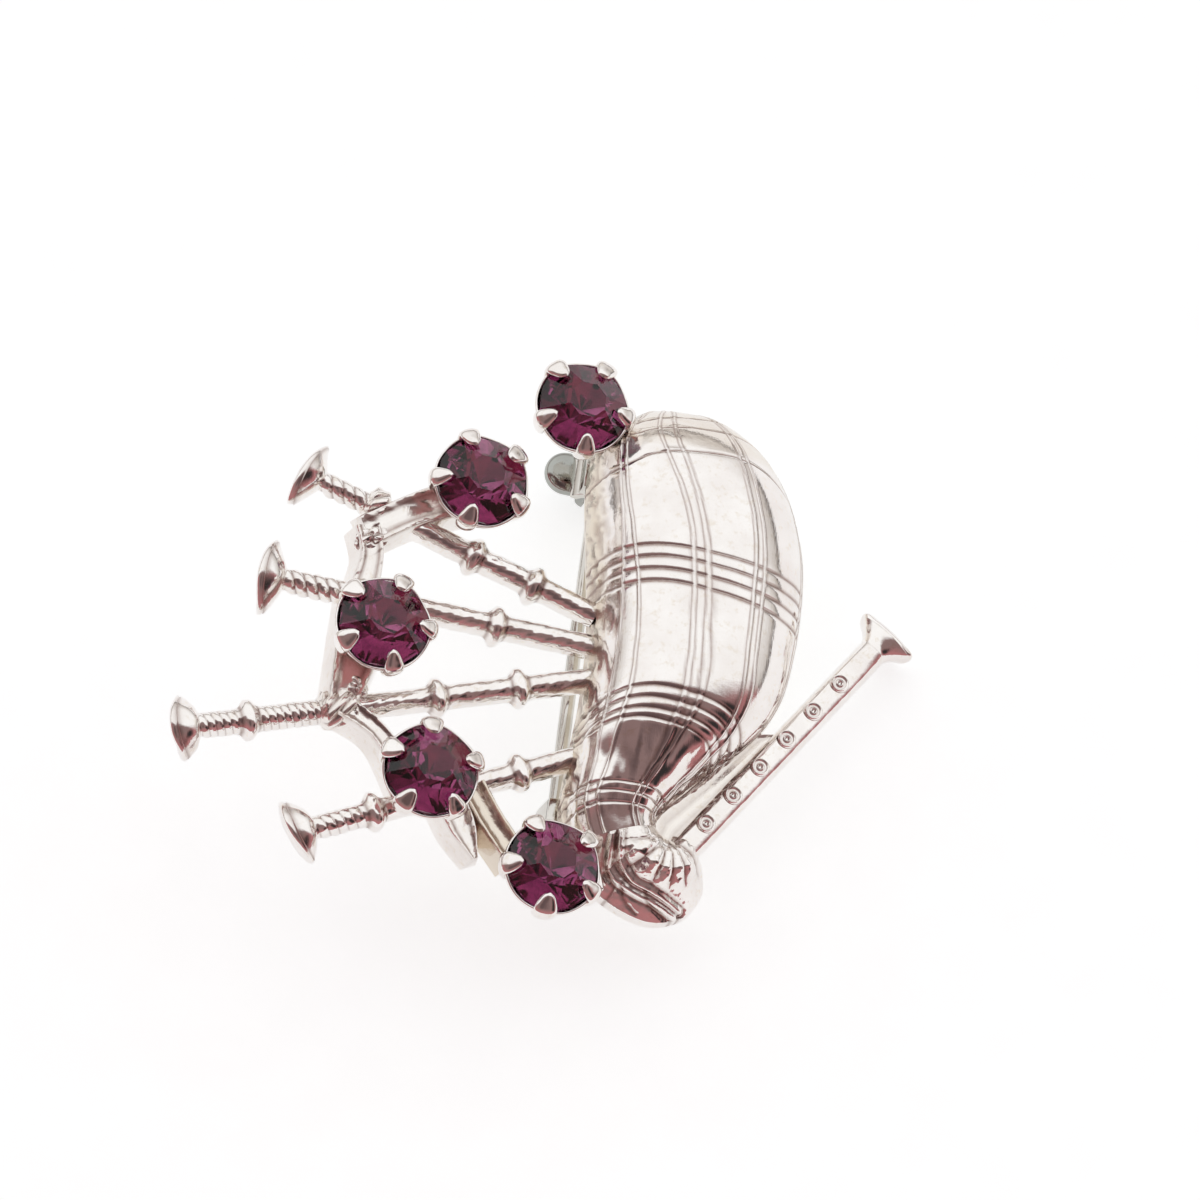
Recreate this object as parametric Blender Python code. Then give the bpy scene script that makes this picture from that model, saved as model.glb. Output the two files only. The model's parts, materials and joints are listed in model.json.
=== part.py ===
"""Bagpipe brooch: a silver-plated pin in the shape of a set of bagpipes, set with five stones.

The brooch is modelled in its own plane: x across, y along the pin stem, z out of the front,
with z = 0 at the back edge of the bag. It is then laid down as it lies on a table, leaning from
the pin parts at its back onto the bell of its chanter.
"""

import math

import bmesh
import bpy
from mathutils import Matrix, Vector

# Fits, in metres
SEAT_GAP = 0.00003
RUN_GAP = 0.00006

# Bag: stations from the top to the neck, each (left edge, right edge, height of the dome)
BAG_STATIONS = (
    ((0.0019, 0.0124), (0.0040, 0.0126), 0.0005),
    ((0.0004, 0.0115), (0.0065, 0.0118), 0.0027),
    ((-0.0014, 0.0093), (0.0089, 0.0098), 0.0048),
    ((-0.0017, 0.0065), (0.0106, 0.0070), 0.0058),
    ((-0.0012, 0.0026), (0.0117, 0.0029), 0.0063),
    ((-0.0006, -0.0020), (0.0117, -0.0022), 0.0063),
    ((-0.0005, -0.0064), (0.0106, -0.0064), 0.0058),
    ((-0.0008, -0.0106), (0.0074, -0.0104), 0.0049),
    ((-0.0009, -0.0136), (0.0049, -0.0131), 0.0040),
    ((-0.0002, -0.0162), (0.0048, -0.0140), 0.0036),
)
BAG_WALL = 0.0008
BAG_ROWS = 30
BAG_SIDES = 18
DOME_POWER = 2.5
HOLLOW_FROM = 0.10
PLATE_THICKNESS = 0.0006
PLATE_INSET = 0.0001

# Neck cuff: it turns from the end of the bag round to the chanter, and its outer side soon becomes a
# slope down to a low rim
CUFF_STATIONS = (
    ((-0.0002, -0.0162), (0.0048, -0.0140), 0.0036),
    ((0.0018, -0.0184), (0.0049, -0.0141), 0.0036),
    ((0.0048, -0.0195), (0.0051, -0.0142), 0.0035),
    ((0.0071, -0.0188), (0.0053, -0.0143), 0.0032),
    ((0.0080, -0.0173), (0.0055, -0.0144), 0.0028),
    ((0.0079, -0.0159), (0.0056, -0.0141), 0.0024),
)
CUFF_POWER = 1.5
CUFF_RIM = 0.0009
CUFF_TURN = 0.35
CUFF_ROWS = 28
CUFF_SIDES = 12
CUFF_RIBS = 7
CUFF_RIB_DEPTH = 0.00025

# Pipes: root at the bag, tip of the bell, collars by distance from the root, start of the rope twist,
# the bell's radius, and the power of its flare: above 1 it is hollow, below 1 it bulges
PIPE_RADIUS = 0.00068
PIPE_LEVEL = 0.0010
PIPE_SIDES = 14
COLLAR_RADIUS = 0.00110
COLLAR_LENGTH = 0.0013
BELL_LENGTH = 0.0012
BELL_LIP = 0.0003
BELL_DOME = 0.00012
BELL_FRONT = 0.55
BELL_BACK = 0.85
BELL_DROOP = 0.6
ROPE_DEPTH = 0.10
ROPE_PITCH = 0.0021
ROPE_STRANDS = 3
PIPES = {
    "upper_tenor_drone": ((-0.0009, -0.0013), (-0.0187, 0.00365), (0.0035, 0.0074), 0.0151, 0.0020, 1.0),
    "lower_tenor_drone": ((-0.0008, -0.0034), (-0.0203, -0.0032), (0.0054,), 0.0148, 0.0022, 0.8),
    "bass_drone": ((-0.0006, -0.0056), (-0.02387, -0.01355), (0.0040, 0.0090, 0.0204), 0.0163, 0.0019, 0.45),
    "blowpipe": ((-0.0004, -0.0104), (-0.01635, -0.0185), (0.0037, 0.0129), 0.0138, 0.0019, 0.5),
}
PIPE_OVERRUN = 0.0015

# Chanter, from the cuff to its bell
CHANTER_START = (0.00655, -0.01485)
CHANTER_END = (0.01725, 0.0009)
CHANTER_LEVEL = 0.0015
CHANTER_RADIUS = 0.0009
CHANTER_SIDES = 16
CHANTER_FLARE = 1.7
CHANTER_BELL_RADIUS = 0.00195
CHANTER_BELL_LENGTH = 0.0016
HOLE_COUNT = 6
HOLE_FIRST = 0.00175
HOLE_PITCH = 0.00249
HOLE_SIDE = 0.00012
HOLE_RADIUS = 0.00022
HOLE_DEPTH = 0.0004
RING_RADIUS = 0.00046
RING_RISE = 0.00014
WEB_REACH = (0.0003, 0.0026)
WEB_SPAN = (-0.0003, 0.0099)
WEB_LEVELS = (0.0003, 0.0012)

# Ribbons: centre line with the foot width at each point; the top is narrower by the bevels
RIBBON_FOOT = 0.0001
RIBBON_TOP = 0.0020
RIBBON_BEVEL = 0.00035
RIBBONS = {
    "ribbon_to_stone_1": (
        ((-0.0147, 0.0005), 0.0026), ((-0.0121, 0.0024), 0.0026), ((-0.0092, 0.0040), 0.0030),
    ),
    "ribbon_between_tenors": (
        ((-0.0147, 0.0004), 0.0021), ((-0.0142, -0.0011), 0.0020), ((-0.0144, -0.0031), 0.0023),
    ),
    "ribbon_tenor_to_bass": (
        ((-0.0147, -0.0032), 0.0024), ((-0.0142, -0.0060), 0.0034), ((-0.0148, -0.0104), 0.0023),
    ),
    "ribbon_bass_to_blowpipe": (
        ((-0.0148, -0.0104), 0.0020), ((-0.0122, -0.0118), 0.0018), ((-0.0096, -0.0152), 0.0026),
    ),
    "ribbon_tail": (
        ((-0.0080, -0.0143), 0.0024), ((-0.0068, -0.0163), 0.0023), ((-0.0058, -0.0181), 0.0010),
    ),
    "ribbon_to_stone_5": (
        ((-0.0065, -0.0137), 0.0022), ((-0.0051, -0.0156), 0.0022), ((-0.0033, -0.0176), 0.0022),
    ),
}
RIBBON_STEPS = 4

# Stones and their five-claw settings: plan position and height of the girdle
STONE_DIAMETER = 0.00535
STONE_CROWN = 0.00125
STONE_PAVILION = 0.0017
STONE_GIRDLE = 0.00018
TABLE_SHARE = 0.56
SETTING_HEIGHT = 0.00215
SETTING_SHEET = 0.0002
SETTING_BASE_RADIUS = 0.0018
SETTING_HOLE_RADIUS = 0.0010
CLAWS = 5
CLAW_HALF_ANGLE = 13.0
CLAW_REACH = 0.48
CLAW_TIP_SHARE = 0.55
STONES = (
    ((-0.0088, 0.0041), RIBBON_TOP, 44.0),
    ((-0.0033, 0.0102), 0.0016, 65.0),
    ((-0.0134, -0.0059), RIBBON_TOP, 73.0),
    ((-0.0095, -0.0142), RIBBON_TOP, 23.0),
    ((-0.0017, -0.0185), RIBBON_TOP, 48.0),
)
LUGS = {
    "stone_2_lug": ((-0.0040, 0.0102), (0.0008, 0.0100), 0.0020, 0.0016),
    "stone_5_lug": ((-0.0022, -0.0186), (0.0016, -0.0174), 0.0022, RIBBON_TOP),
}
LUG_THICKNESS = 0.0009

# Pin back: hinge, stem and roll-over catch on one line behind the bag's left edge
PIN_LINE = -0.0004
PIN_LEVEL = -0.0034
HINGE_PLACE = -0.0138
CATCH_PLACE = 0.0089
BRACKET_LENGTH = 0.0026
BRACKET_BASE = 0.00045
EAR_THICKNESS = 0.00045
EAR_RADIUS = 0.0015
KNUCKLE_WIDTH = 0.0009
KNUCKLE_RADIUS = 0.0010
RIVET_RADIUS = 0.0004
RIVET_HEAD = 0.0002
RIVET_HEAD_RADIUS = 0.00062
STEM_RADIUS = 0.00042
STEM_TIP_RADIUS = 0.00034
STEM_OVERRUN = 0.0012
ROTOR_BORE = 0.00064
ROTOR_RADIUS = 0.00115
ROTOR_LENGTH = 0.0030
SLOT_WIDTH = 0.00096
HOUSING_WALL = 0.00055
HOUSING_LENGTH = 0.0034
HOUSING_ARC = (-60.0, 160.0)
HOUSING_FOOT = 0.0026
TAB_LENGTH = 0.0032
TAB_WIDTH = 0.0026
TAB_THICKNESS = 0.0005

# Finishes: colour, roughness, metallic
SILVER = ((0.83, 0.80, 0.77), 0.16, 1.0)
NICKEL = ((0.55, 0.54, 0.51), 0.22, 1.0)
AMETHYST = ((0.17, 0.03, 0.27), 0.04, 0.0)


def spline(points, t):
    """Point of a smooth curve through points, with t running from 0 to 1."""
    spans = len(points) - 1
    k = min(int(t * spans), spans - 1)
    f = t * spans - k
    before = points[max(k - 1, 0)]
    after = points[min(k + 2, spans)]
    made = []
    for a, b, c, d in zip(before, points[k], points[k + 1], after):
        made.append(b + 0.5 * f * (c - a + f * (2 * a - 5 * b + 4 * c - d + f * (3 * (b - c) + d - a))))
    return made


def mesh_from(bm):
    """Finished mesh with its faces turned outwards."""
    bmesh.ops.recalc_face_normals(bm, faces=bm.faces)
    mesh = bpy.data.meshes.new("piece")
    bm.to_mesh(mesh)
    bm.free()
    return mesh


def combine(mesh, other, operation):
    """The mesh after an exact union, difference or intersection with another."""
    body = bpy.data.objects.new("body", mesh)
    tool = bpy.data.objects.new("tool", other)
    for item in (body, tool):
        bpy.context.scene.collection.objects.link(item)
    step = body.modifiers.new("combine", "BOOLEAN")
    step.solver = "EXACT"
    step.operation = operation
    step.object = tool
    graph = bpy.context.evaluated_depsgraph_get()
    made = bpy.data.meshes.new_from_object(body.evaluated_get(graph))
    for item in (body, tool):
        bpy.data.objects.remove(item)
    return made


def bridge(bm, first, second, closed=True):
    """Quads between two rows of vertices."""
    for k in range(len(first) - (0 if closed else 1)):
        n = (k + 1) % len(first)
        bm.faces.new((first[k], first[n], second[n], second[k]))


def turned(profile, sides, rope=None, bell=None):
    """Round body along +z from (distance, radius) pairs, twisted like rope between two distances.

    With a bell that starts at a distance, the stem is square at its back, as it is cast, and the bell is
    flattened from front to back and droops at its front."""
    bm = bmesh.new()
    rings = []
    for distance, radius in profile:
        ring = []
        for k in range(sides):
            angle = 2 * math.pi * k / sides
            across, up = math.cos(angle), math.sin(angle)
            r = radius
            shove = 0.0
            if rope and rope[0] < distance < rope[1]:
                turn = 2 * math.pi * (distance - rope[0]) / ROPE_PITCH
                r *= 1 + ROPE_DEPTH * math.cos(ROPE_STRANDS * (angle - turn / ROPE_STRANDS))
            if bell is not None and distance > bell:
                share = min((distance - bell) / (BELL_LENGTH - BELL_DOME), 1.0)
                up *= 1 - (1 - (BELL_FRONT if up > 0 else BELL_BACK)) * share
                shove = BELL_DROOP * share * r * max(up, 0.0)
            elif bell is not None and up < 0:
                r *= (abs(across) ** 6 + abs(up) ** 6) ** (-1 / 6)
            ring.append(bm.verts.new((r * across, r * up, distance + shove)))
        rings.append(ring)
    for first, second in zip(rings, rings[1:]):
        bridge(bm, first, second)
    bm.faces.new(rings[0])
    bm.faces.new(rings[-1])
    return mesh_from(bm)


def along(mesh, start, direction):
    """Carry a mesh built along +z to a start point and direction."""
    turn = Vector(direction).to_track_quat("Z", "Y").to_matrix().to_4x4()
    mesh.transform(Matrix.Translation(start) @ turn)
    return mesh


def prism(outline, low, high):
    """Plate with a closed outline, from height low to height high."""
    bm = bmesh.new()
    lower = [bm.verts.new((x, y, low)) for x, y in outline]
    upper = [bm.verts.new((x, y, high)) for x, y in outline]
    bridge(bm, lower, upper)
    bm.faces.new(lower)
    bm.faces.new(upper)
    return mesh_from(bm)


def box(low, high):
    """Block between two corners."""
    corners = ((low[0], low[1]), (high[0], low[1]), (high[0], high[1]), (low[0], high[1]))
    return prism(corners, low[2], high[2])


def arc(radius, first, last, steps, centre=(0.0, 0.0)):
    """Points on an arc, with angles in degrees."""
    made = []
    for k in range(steps + 1):
        angle = math.radians(first + (last - first) * k / steps)
        made.append((centre[0] + radius * math.cos(angle), centre[1] + radius * math.sin(angle)))
    return made


def section(stations, t, sides, grow=0.0, slope=0.0):
    """Domed cross-section of a bag or cuff: points from its left edge over the top to its right edge.

    With a slope of 1 the left side falls away to a low rim, and with 0 it is as full as the right side."""
    rows = [left + right + (height,) for left, right, height in stations]
    lx, ly, rx, ry, height = spline(rows, t)
    middle = Vector(((lx + rx) / 2, (ly + ry) / 2))
    half = Vector((rx - lx, ry - ly)) / 2
    half *= 1 + grow / half.length
    made = []
    for k in range(sides + 1):
        angle = math.pi * (1 - k / sides)
        lean = slope if 2 * k < sides else 0.0
        power = DOME_POWER + (CUFF_POWER - DOME_POWER) * lean
        across = math.copysign(abs(math.cos(angle)) ** (2 / power), math.cos(angle))
        rim = CUFF_RIM * lean
        up = rim + (height + grow - rim) * abs(math.sin(angle)) ** (2 / power)
        place = middle + half * across
        made.append((place.x, place.y, up if 0 < k < sides else 0.0))
    return made


def domed_solid(stations, rows, sides, grow=0.0, ribs=0, sloped=False):
    """Closed domed body with a flat back along the stations, grown outwards, ribbed and sloped if asked."""
    bm = bmesh.new()
    made = []
    for k in range(rows + 1):
        t = k / rows
        swell = grow
        if ribs and 0 < k < rows:
            swell += CUFF_RIB_DEPTH * abs(math.sin(math.pi * ribs * t)) - CUFF_RIB_DEPTH / 2
        slope = min(t / CUFF_TURN, 1.0) if sloped else 0.0
        ring = section(stations, t, sides, swell, slope)
        if grow:
            ring[0] = (ring[0][0], ring[0][1], -grow)
            ring[-1] = (ring[-1][0], ring[-1][1], -grow)
        made.append([bm.verts.new(point) for point in ring])
    for first, second in zip(made, made[1:]):
        bridge(bm, first, second)
    bm.faces.new(made[0])
    bm.faces.new(made[-1])
    return mesh_from(bm)


def bag_tool():
    """Solid bag, a seating gap larger, for cutting what lies against it."""
    return domed_solid(BAG_STATIONS, BAG_ROWS, BAG_SIDES, SEAT_GAP)


def cuff_tool():
    """Plain cuff, a seating gap larger than its ribs, for cutting what lies against it."""
    return domed_solid(CUFF_STATIONS, CUFF_ROWS, CUFF_SIDES, CUFF_RIB_DEPTH / 2 + SEAT_GAP, sloped=True)


def bag_shell():
    """Hollow bag, open at its back and at its neck."""
    bm = bmesh.new()
    outer = []
    inner = []
    for k in range(BAG_ROWS + 1):
        t = k / BAG_ROWS
        outer.append([bm.verts.new(point) for point in section(BAG_STATIONS, t, BAG_SIDES)])
        if t >= HOLLOW_FROM:
            hollow = section(BAG_STATIONS, t, BAG_SIDES, -BAG_WALL)
            inner.append([bm.verts.new(point) for point in hollow])
    for first, second in zip(outer, outer[1:]):
        bridge(bm, first, second, closed=False)
    for first, second in zip(inner, inner[1:]):
        bridge(bm, first, second, closed=False)
    bm.faces.new(outer[0])
    bm.faces.new(inner[0])
    bridge(bm, outer[-1], inner[-1], closed=False)
    solid_rows = len(outer) - len(inner)
    for k in range(solid_rows - 1):
        bm.faces.new((outer[k][0], outer[k][-1], outer[k + 1][-1], outer[k + 1][0]))
    last = outer[solid_rows - 1]
    first = outer[solid_rows]
    bm.faces.new((last[0], last[-1], first[-1], inner[0][-1], inner[0][0], first[0]))
    for k in range(len(inner) - 1):
        a = outer[solid_rows + k]
        b = outer[solid_rows + k + 1]
        for side in (0, -1):
            bm.faces.new((a[side], b[side], inner[k + 1][side], inner[k][side]))
    return mesh_from(bm)


def back_plate():
    """Flat plate that closes the back of the bag, just inside its edge."""
    bm = bmesh.new()
    top = -SEAT_GAP
    layers = []
    columns = 4
    for level in (top, top - PLATE_THICKNESS):
        rows = []
        for k in range(BAG_ROWS + 1):
            edge = section(BAG_STATIONS, k / BAG_ROWS, 2, -PLATE_INSET)
            left = Vector(edge[0])
            right = Vector(edge[-1])
            row = [left.lerp(right, c / columns) for c in range(columns + 1)]
            rows.append([bm.verts.new((p.x, p.y, level)) for p in row])
        for first, second in zip(rows, rows[1:]):
            bridge(bm, first, second, closed=False)
        layers.append(rows)
    upper, lower = layers
    bridge(bm, upper[0], lower[0], closed=False)
    bridge(bm, upper[-1], lower[-1], closed=False)
    for side in (0, -1):
        bridge(bm, [row[side] for row in upper], [row[side] for row in lower], closed=False)
    return mesh_from(bm)


def bell_profile(start, neck, rim, radius, power):
    """Flared bell whose lip ends at a distance rim from its start, with a low domed face."""
    flare = rim - BELL_LIP
    points = []
    for k in range(7):
        f = k / 6
        points.append((start + flare * f, neck + (radius - neck) * f ** power))
    lip = start + rim
    points.append((lip - BELL_LIP * 0.35, radius))
    points.append((lip, radius * 0.92))
    points.append((lip + BELL_DOME, radius * 0.45))
    return points


def collar_profile(place):
    """Rounded collar round a pipe."""
    half = COLLAR_LENGTH / 2
    rise = COLLAR_RADIUS - PIPE_RADIUS
    shares = ((-1.0, 0.0), (-0.7, 0.72), (0.0, 1.0), (0.7, 0.72), (1.0, 0.0))
    return [(place + half * x, PIPE_RADIUS + rise * y) for x, y in shares]


def pipe(spec, grow=0.0):
    """One drone or the blowpipe, from just inside the bag to its bell."""
    root, end, collars, rope_start, bell_radius, flare = spec
    start = Vector((root[0], root[1], PIPE_LEVEL))
    way = Vector((end[0], end[1], PIPE_LEVEL)) - start
    length = way.length
    bell_start = length - BELL_LENGTH
    profile = [(-PIPE_OVERRUN, PIPE_RADIUS)]
    for place in collars:
        profile += collar_profile(place)
    steps = round((bell_start - rope_start) / (ROPE_PITCH / 8))
    for k in range(steps):
        profile.append((rope_start + (bell_start - rope_start) * k / steps, PIPE_RADIUS))
    profile += bell_profile(bell_start, PIPE_RADIUS, BELL_LENGTH - BELL_DOME, bell_radius, flare)
    spaces = [collar - COLLAR_LENGTH * 0.5 for collar in collars]
    ends = [collar + COLLAR_LENGTH * 0.5 for collar in collars]
    inside = []
    for distance, radius in sorted(profile):
        hidden = any(a < distance < b and radius == PIPE_RADIUS for a, b in zip(spaces, ends))
        if not hidden:
            inside.append((distance, radius + grow))
    made = turned(inside, PIPE_SIDES, rope=(rope_start, bell_start), bell=bell_start)
    return along(made, start, way)


def chanter():
    """Chanter tube with a flared bell and a row of ringed finger holes on its front."""
    start = Vector((CHANTER_START[0], CHANTER_START[1], CHANTER_LEVEL))
    way = Vector((CHANTER_END[0], CHANTER_END[1], CHANTER_LEVEL)) - start
    length = way.length
    way.normalize()
    bell_start = length - CHANTER_BELL_LENGTH
    profile = [(0.0, CHANTER_RADIUS), (bell_start - CHANTER_BELL_LENGTH, CHANTER_RADIUS)]
    bell = (CHANTER_BELL_LENGTH, CHANTER_BELL_RADIUS, CHANTER_FLARE)
    profile += bell_profile(bell_start, CHANTER_RADIUS * 1.05, *bell)
    body = along(turned(profile, CHANTER_SIDES), start, way)
    top = CHANTER_LEVEL + CHANTER_RADIUS
    first = start + Vector((-way.y, way.x, 0.0)) * HOLE_SIDE + way * HOLE_FIRST
    places = [(first + way * HOLE_PITCH * k).xy for k in range(HOLE_COUNT)]
    for place in places:
        ring = prism(arc(RING_RADIUS, 0, 330, 11, place), CHANTER_LEVEL, top + RING_RISE)
        body = combine(body, ring, "UNION")
    for place in places:
        hole = prism(arc(HOLE_RADIUS, 0, 315, 7, place), top - HOLE_DEPTH, top + 2 * RING_RISE)
        body = combine(body, hole, "DIFFERENCE")
    return body


def chanter_tool(grow):
    """Plain grown chanter tube for cutting what lies against it."""
    start = Vector((CHANTER_START[0], CHANTER_START[1], CHANTER_LEVEL))
    way = Vector((CHANTER_END[0], CHANTER_END[1], CHANTER_LEVEL)) - start
    bell_start = way.length - CHANTER_BELL_LENGTH
    profile = [(0.0, CHANTER_RADIUS + grow), (bell_start, CHANTER_RADIUS + grow)]
    return along(turned(profile, CHANTER_SIDES), start, way)


def chanter_web():
    """Thin web that fills the corner between the chanter, the bag's edge and the cuff."""
    start = Vector(CHANTER_START)
    way = (Vector(CHANTER_END) - start).normalized()
    side = Vector((-way.y, way.x))
    near, far = WEB_REACH
    first, last = WEB_SPAN
    corners = ((first, near), (last, near), (last, far), (first, far))
    web = prism([tuple(start + way * d + side * s) for d, s in corners], *WEB_LEVELS)
    web = combine(web, bag_tool(), "DIFFERENCE")
    web = combine(web, cuff_tool(), "DIFFERENCE")
    return combine(web, chanter_tool(SEAT_GAP), "DIFFERENCE")


def ribbon(points):
    """Ribbon with bevelled sides along a curved centre line."""
    rows = [place + (width,) for place, width in points]
    steps = RIBBON_STEPS * (len(points) - 1)
    bm = bmesh.new()
    rings = []
    for k in range(steps + 1):
        x, y, width = spline(rows, k / steps)
        ahead = spline(rows, min(k / steps + 0.01, 1.0))
        behind = spline(rows, max(k / steps - 0.01, 0.0))
        way = Vector((ahead[0] - behind[0], ahead[1] - behind[1])).normalized()
        side = Vector((-way.y, way.x))
        foot = side * width / 2
        crest = side * (width / 2 - RIBBON_BEVEL)
        ring = (
            (x - foot.x, y - foot.y, RIBBON_FOOT),
            (x + foot.x, y + foot.y, RIBBON_FOOT),
            (x + crest.x, y + crest.y, RIBBON_TOP),
            (x - crest.x, y - crest.y, RIBBON_TOP),
        )
        rings.append([bm.verts.new(point) for point in ring])
    for first, second in zip(rings, rings[1:]):
        bridge(bm, first, second)
    bm.faces.new(rings[0])
    bm.faces.new(rings[-1])
    return mesh_from(bm)


def lug(spec):
    """Flat tab from under a setting to the wall of the bag."""
    inner, outer, width, top = spec
    way = (Vector(outer) - Vector(inner)).normalized()
    side = Vector((-way.y, way.x)) * width / 2
    ends = (Vector(inner) - side, Vector(outer) - side, Vector(outer) + side, Vector(inner) + side)
    return prism([tuple(p) for p in ends], top - LUG_THICKNESS, top)


def stone():
    """Cut stone about its girdle: table, crown, narrow girdle and pointed back."""
    radius = STONE_DIAMETER / 2
    rim = STONE_GIRDLE / 2
    bm = bmesh.new()

    def ring(count, r, z, shift):
        angles = [2 * math.pi * (k + shift) / count for k in range(count)]
        return [bm.verts.new((r * math.cos(a), r * math.sin(a), z)) for a in angles]

    table = ring(8, radius * TABLE_SHARE, rim + STONE_CROWN, 0.5)
    upper = ring(16, radius, rim, 0.5)
    lower = ring(16, radius, -rim, 0.5)
    point = bm.verts.new((0, 0, -rim - STONE_PAVILION))
    bm.faces.new(table)
    bridge(bm, upper, lower)
    for k in range(8):
        bm.faces.new((table[k], upper[2 * k], upper[2 * k + 1]))
        n = (k + 1) % 8
        bm.faces.new((table[k], upper[2 * k + 1], upper[(2 * k + 2) % 16], table[n]))
    for k in range(16):
        bm.faces.new((lower[k], lower[(k + 1) % 16], point))
    return mesh_from(bm)


def setting(turn):
    """Pressed cup with five claws, folded up from one sheet round the stone's girdle."""
    seat = STONE_DIAMETER / 2 + SEAT_GAP
    rim = STONE_GIRDLE / 2
    floor = SETTING_SHEET - SETTING_HEIGHT
    slope = Vector((STONE_CROWN, (1 - TABLE_SHARE) * STONE_DIAMETER / 2)).normalized()
    walls = [(SETTING_HOLE_RADIUS, floor), (SETTING_BASE_RADIUS, floor), (seat, -2 * rim), (seat, rim)]
    claw = [(seat + slope.x * SEAT_GAP, rim + SEAT_GAP)]
    for share in (CLAW_REACH / 2, CLAW_REACH):
        r = STONE_DIAMETER / 2 * (1 - (1 - TABLE_SHARE) * share)
        z = rim + STONE_CROWN * share
        claw.append((r + slope.x * 2 * SEAT_GAP, z + slope.y * 2 * SEAT_GAP))
    sector = 360 / CLAWS
    offsets = (-CLAW_HALF_ANGLE, 0.0, CLAW_HALF_ANGLE, sector * 0.31, sector * 0.5, sector * 0.69)
    bm = bmesh.new()
    columns = [turn + sector * k + offset for k in range(CLAWS) for offset in offsets]

    def vertex(radius, z, degrees):
        angle = math.radians(degrees)
        return bm.verts.new((radius * math.cos(angle), radius * math.sin(angle), z))

    rings = [[vertex(r, z, angle) for angle in columns] for r, z in walls]
    for first, second in zip(rings, rings[1:]):
        bridge(bm, first, second)
    for k in range(CLAWS):
        below = rings[-1][k * len(offsets):k * len(offsets) + 3]
        for step, (r, z) in enumerate(claw):
            narrow = 1 - (1 - CLAW_TIP_SHARE) * step / (len(claw) - 1)
            angles = [turn + sector * k + offset * narrow for offset in offsets[:3]]
            row = [vertex(r, z, angle) for angle in angles]
            bridge(bm, below, row, closed=False)
            below = row
    mesh = bpy.data.meshes.new("sheet")
    bmesh.ops.recalc_face_normals(bm, faces=bm.faces)
    outward = sum(face.normal.xy.dot(face.calc_center_median().xy) for face in bm.faces)
    if outward < 0:
        bmesh.ops.reverse_faces(bm, faces=bm.faces)
    bm.to_mesh(mesh)
    bm.free()
    blank = bpy.data.objects.new("blank", mesh)
    bpy.context.scene.collection.objects.link(blank)
    fold = blank.modifiers.new("sheet", "SOLIDIFY")
    fold.thickness = SETTING_SHEET
    fold.offset = 1.0
    fold.use_even_offset = True
    graph = bpy.context.evaluated_depsgraph_get()
    made = bpy.data.meshes.new_from_object(blank.evaluated_get(graph))
    bpy.data.objects.remove(blank)
    return made


def across(mesh):
    """Turn a mesh built along +z so that its length lies along x and its x points along y."""
    mesh.transform(Matrix(((0, 0, 1, 0), (1, 0, 0, 0), (0, 1, 0, 0), (0, 0, 0, 1))))
    return mesh


def lengthwise(mesh):
    """Turn a mesh built along +z so that its length lies along -y and its y points along z."""
    mesh.transform(Matrix(((1, 0, 0, 0), (0, 0, -1, 0), (0, 1, 0, 0), (0, 0, 0, 1))))
    return mesh


def hinge_bracket():
    """Bracket with two round ears, about the rivet's axis."""
    top = -SEAT_GAP * 2 - PLATE_THICKNESS - PIN_LEVEL
    half = KNUCKLE_WIDTH / 2 + RUN_GAP + EAR_THICKNESS
    outline = arc(EAR_RADIUS, -180, 0, 12) + [(BRACKET_LENGTH / 2, top), (-BRACKET_LENGTH / 2, top)]
    block = across(prism(outline, -half, half))
    room = KNUCKLE_WIDTH / 2 + RUN_GAP
    slot = box((-room, -EAR_RADIUS * 2, -EAR_RADIUS * 2), (room, EAR_RADIUS * 2, top - BRACKET_BASE))
    block = combine(block, slot, "DIFFERENCE")
    hole = across(prism(arc(RIVET_RADIUS + SEAT_GAP, 0, 330, 11), -2 * half, 2 * half))
    return combine(block, hole, "DIFFERENCE")


def hinge_rivet():
    """Rivet through both ears, with a flat head at each end."""
    half = KNUCKLE_WIDTH / 2 + RUN_GAP + EAR_THICKNESS + SEAT_GAP
    end = half + RIVET_HEAD
    profile = [(-end, RIVET_HEAD_RADIUS), (-half, RIVET_HEAD_RADIUS), (-half, RIVET_RADIUS)]
    profile += [(half, RIVET_RADIUS), (half, RIVET_HEAD_RADIUS), (end, RIVET_HEAD_RADIUS)]
    return across(turned(profile, 12))


def pin_stem():
    """Pointed wire with a round knuckle, about the rivet's axis."""
    length = CATCH_PLACE - HINGE_PLACE + HOUSING_LENGTH / 2 + STEM_OVERRUN
    taper = length - 3 * STEM_OVERRUN
    profile = [(0, STEM_RADIUS), (length * 0.5, STEM_RADIUS), (taper, STEM_TIP_RADIUS)]
    profile += [(length - STEM_OVERRUN * 0.6, STEM_TIP_RADIUS * 0.6), (length, STEM_TIP_RADIUS * 0.12)]
    wire = along(turned(profile, 12), (0, 0, 0), (0, 1, 0))
    knuckle = across(prism(arc(KNUCKLE_RADIUS, 0, 345, 23), -KNUCKLE_WIDTH / 2, KNUCKLE_WIDTH / 2))
    wire = combine(wire, knuckle, "UNION")
    hole = across(prism(arc(RIVET_RADIUS + RUN_GAP, 0, 330, 11), -KNUCKLE_WIDTH, KNUCKLE_WIDTH))
    return combine(wire, hole, "DIFFERENCE")


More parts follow.
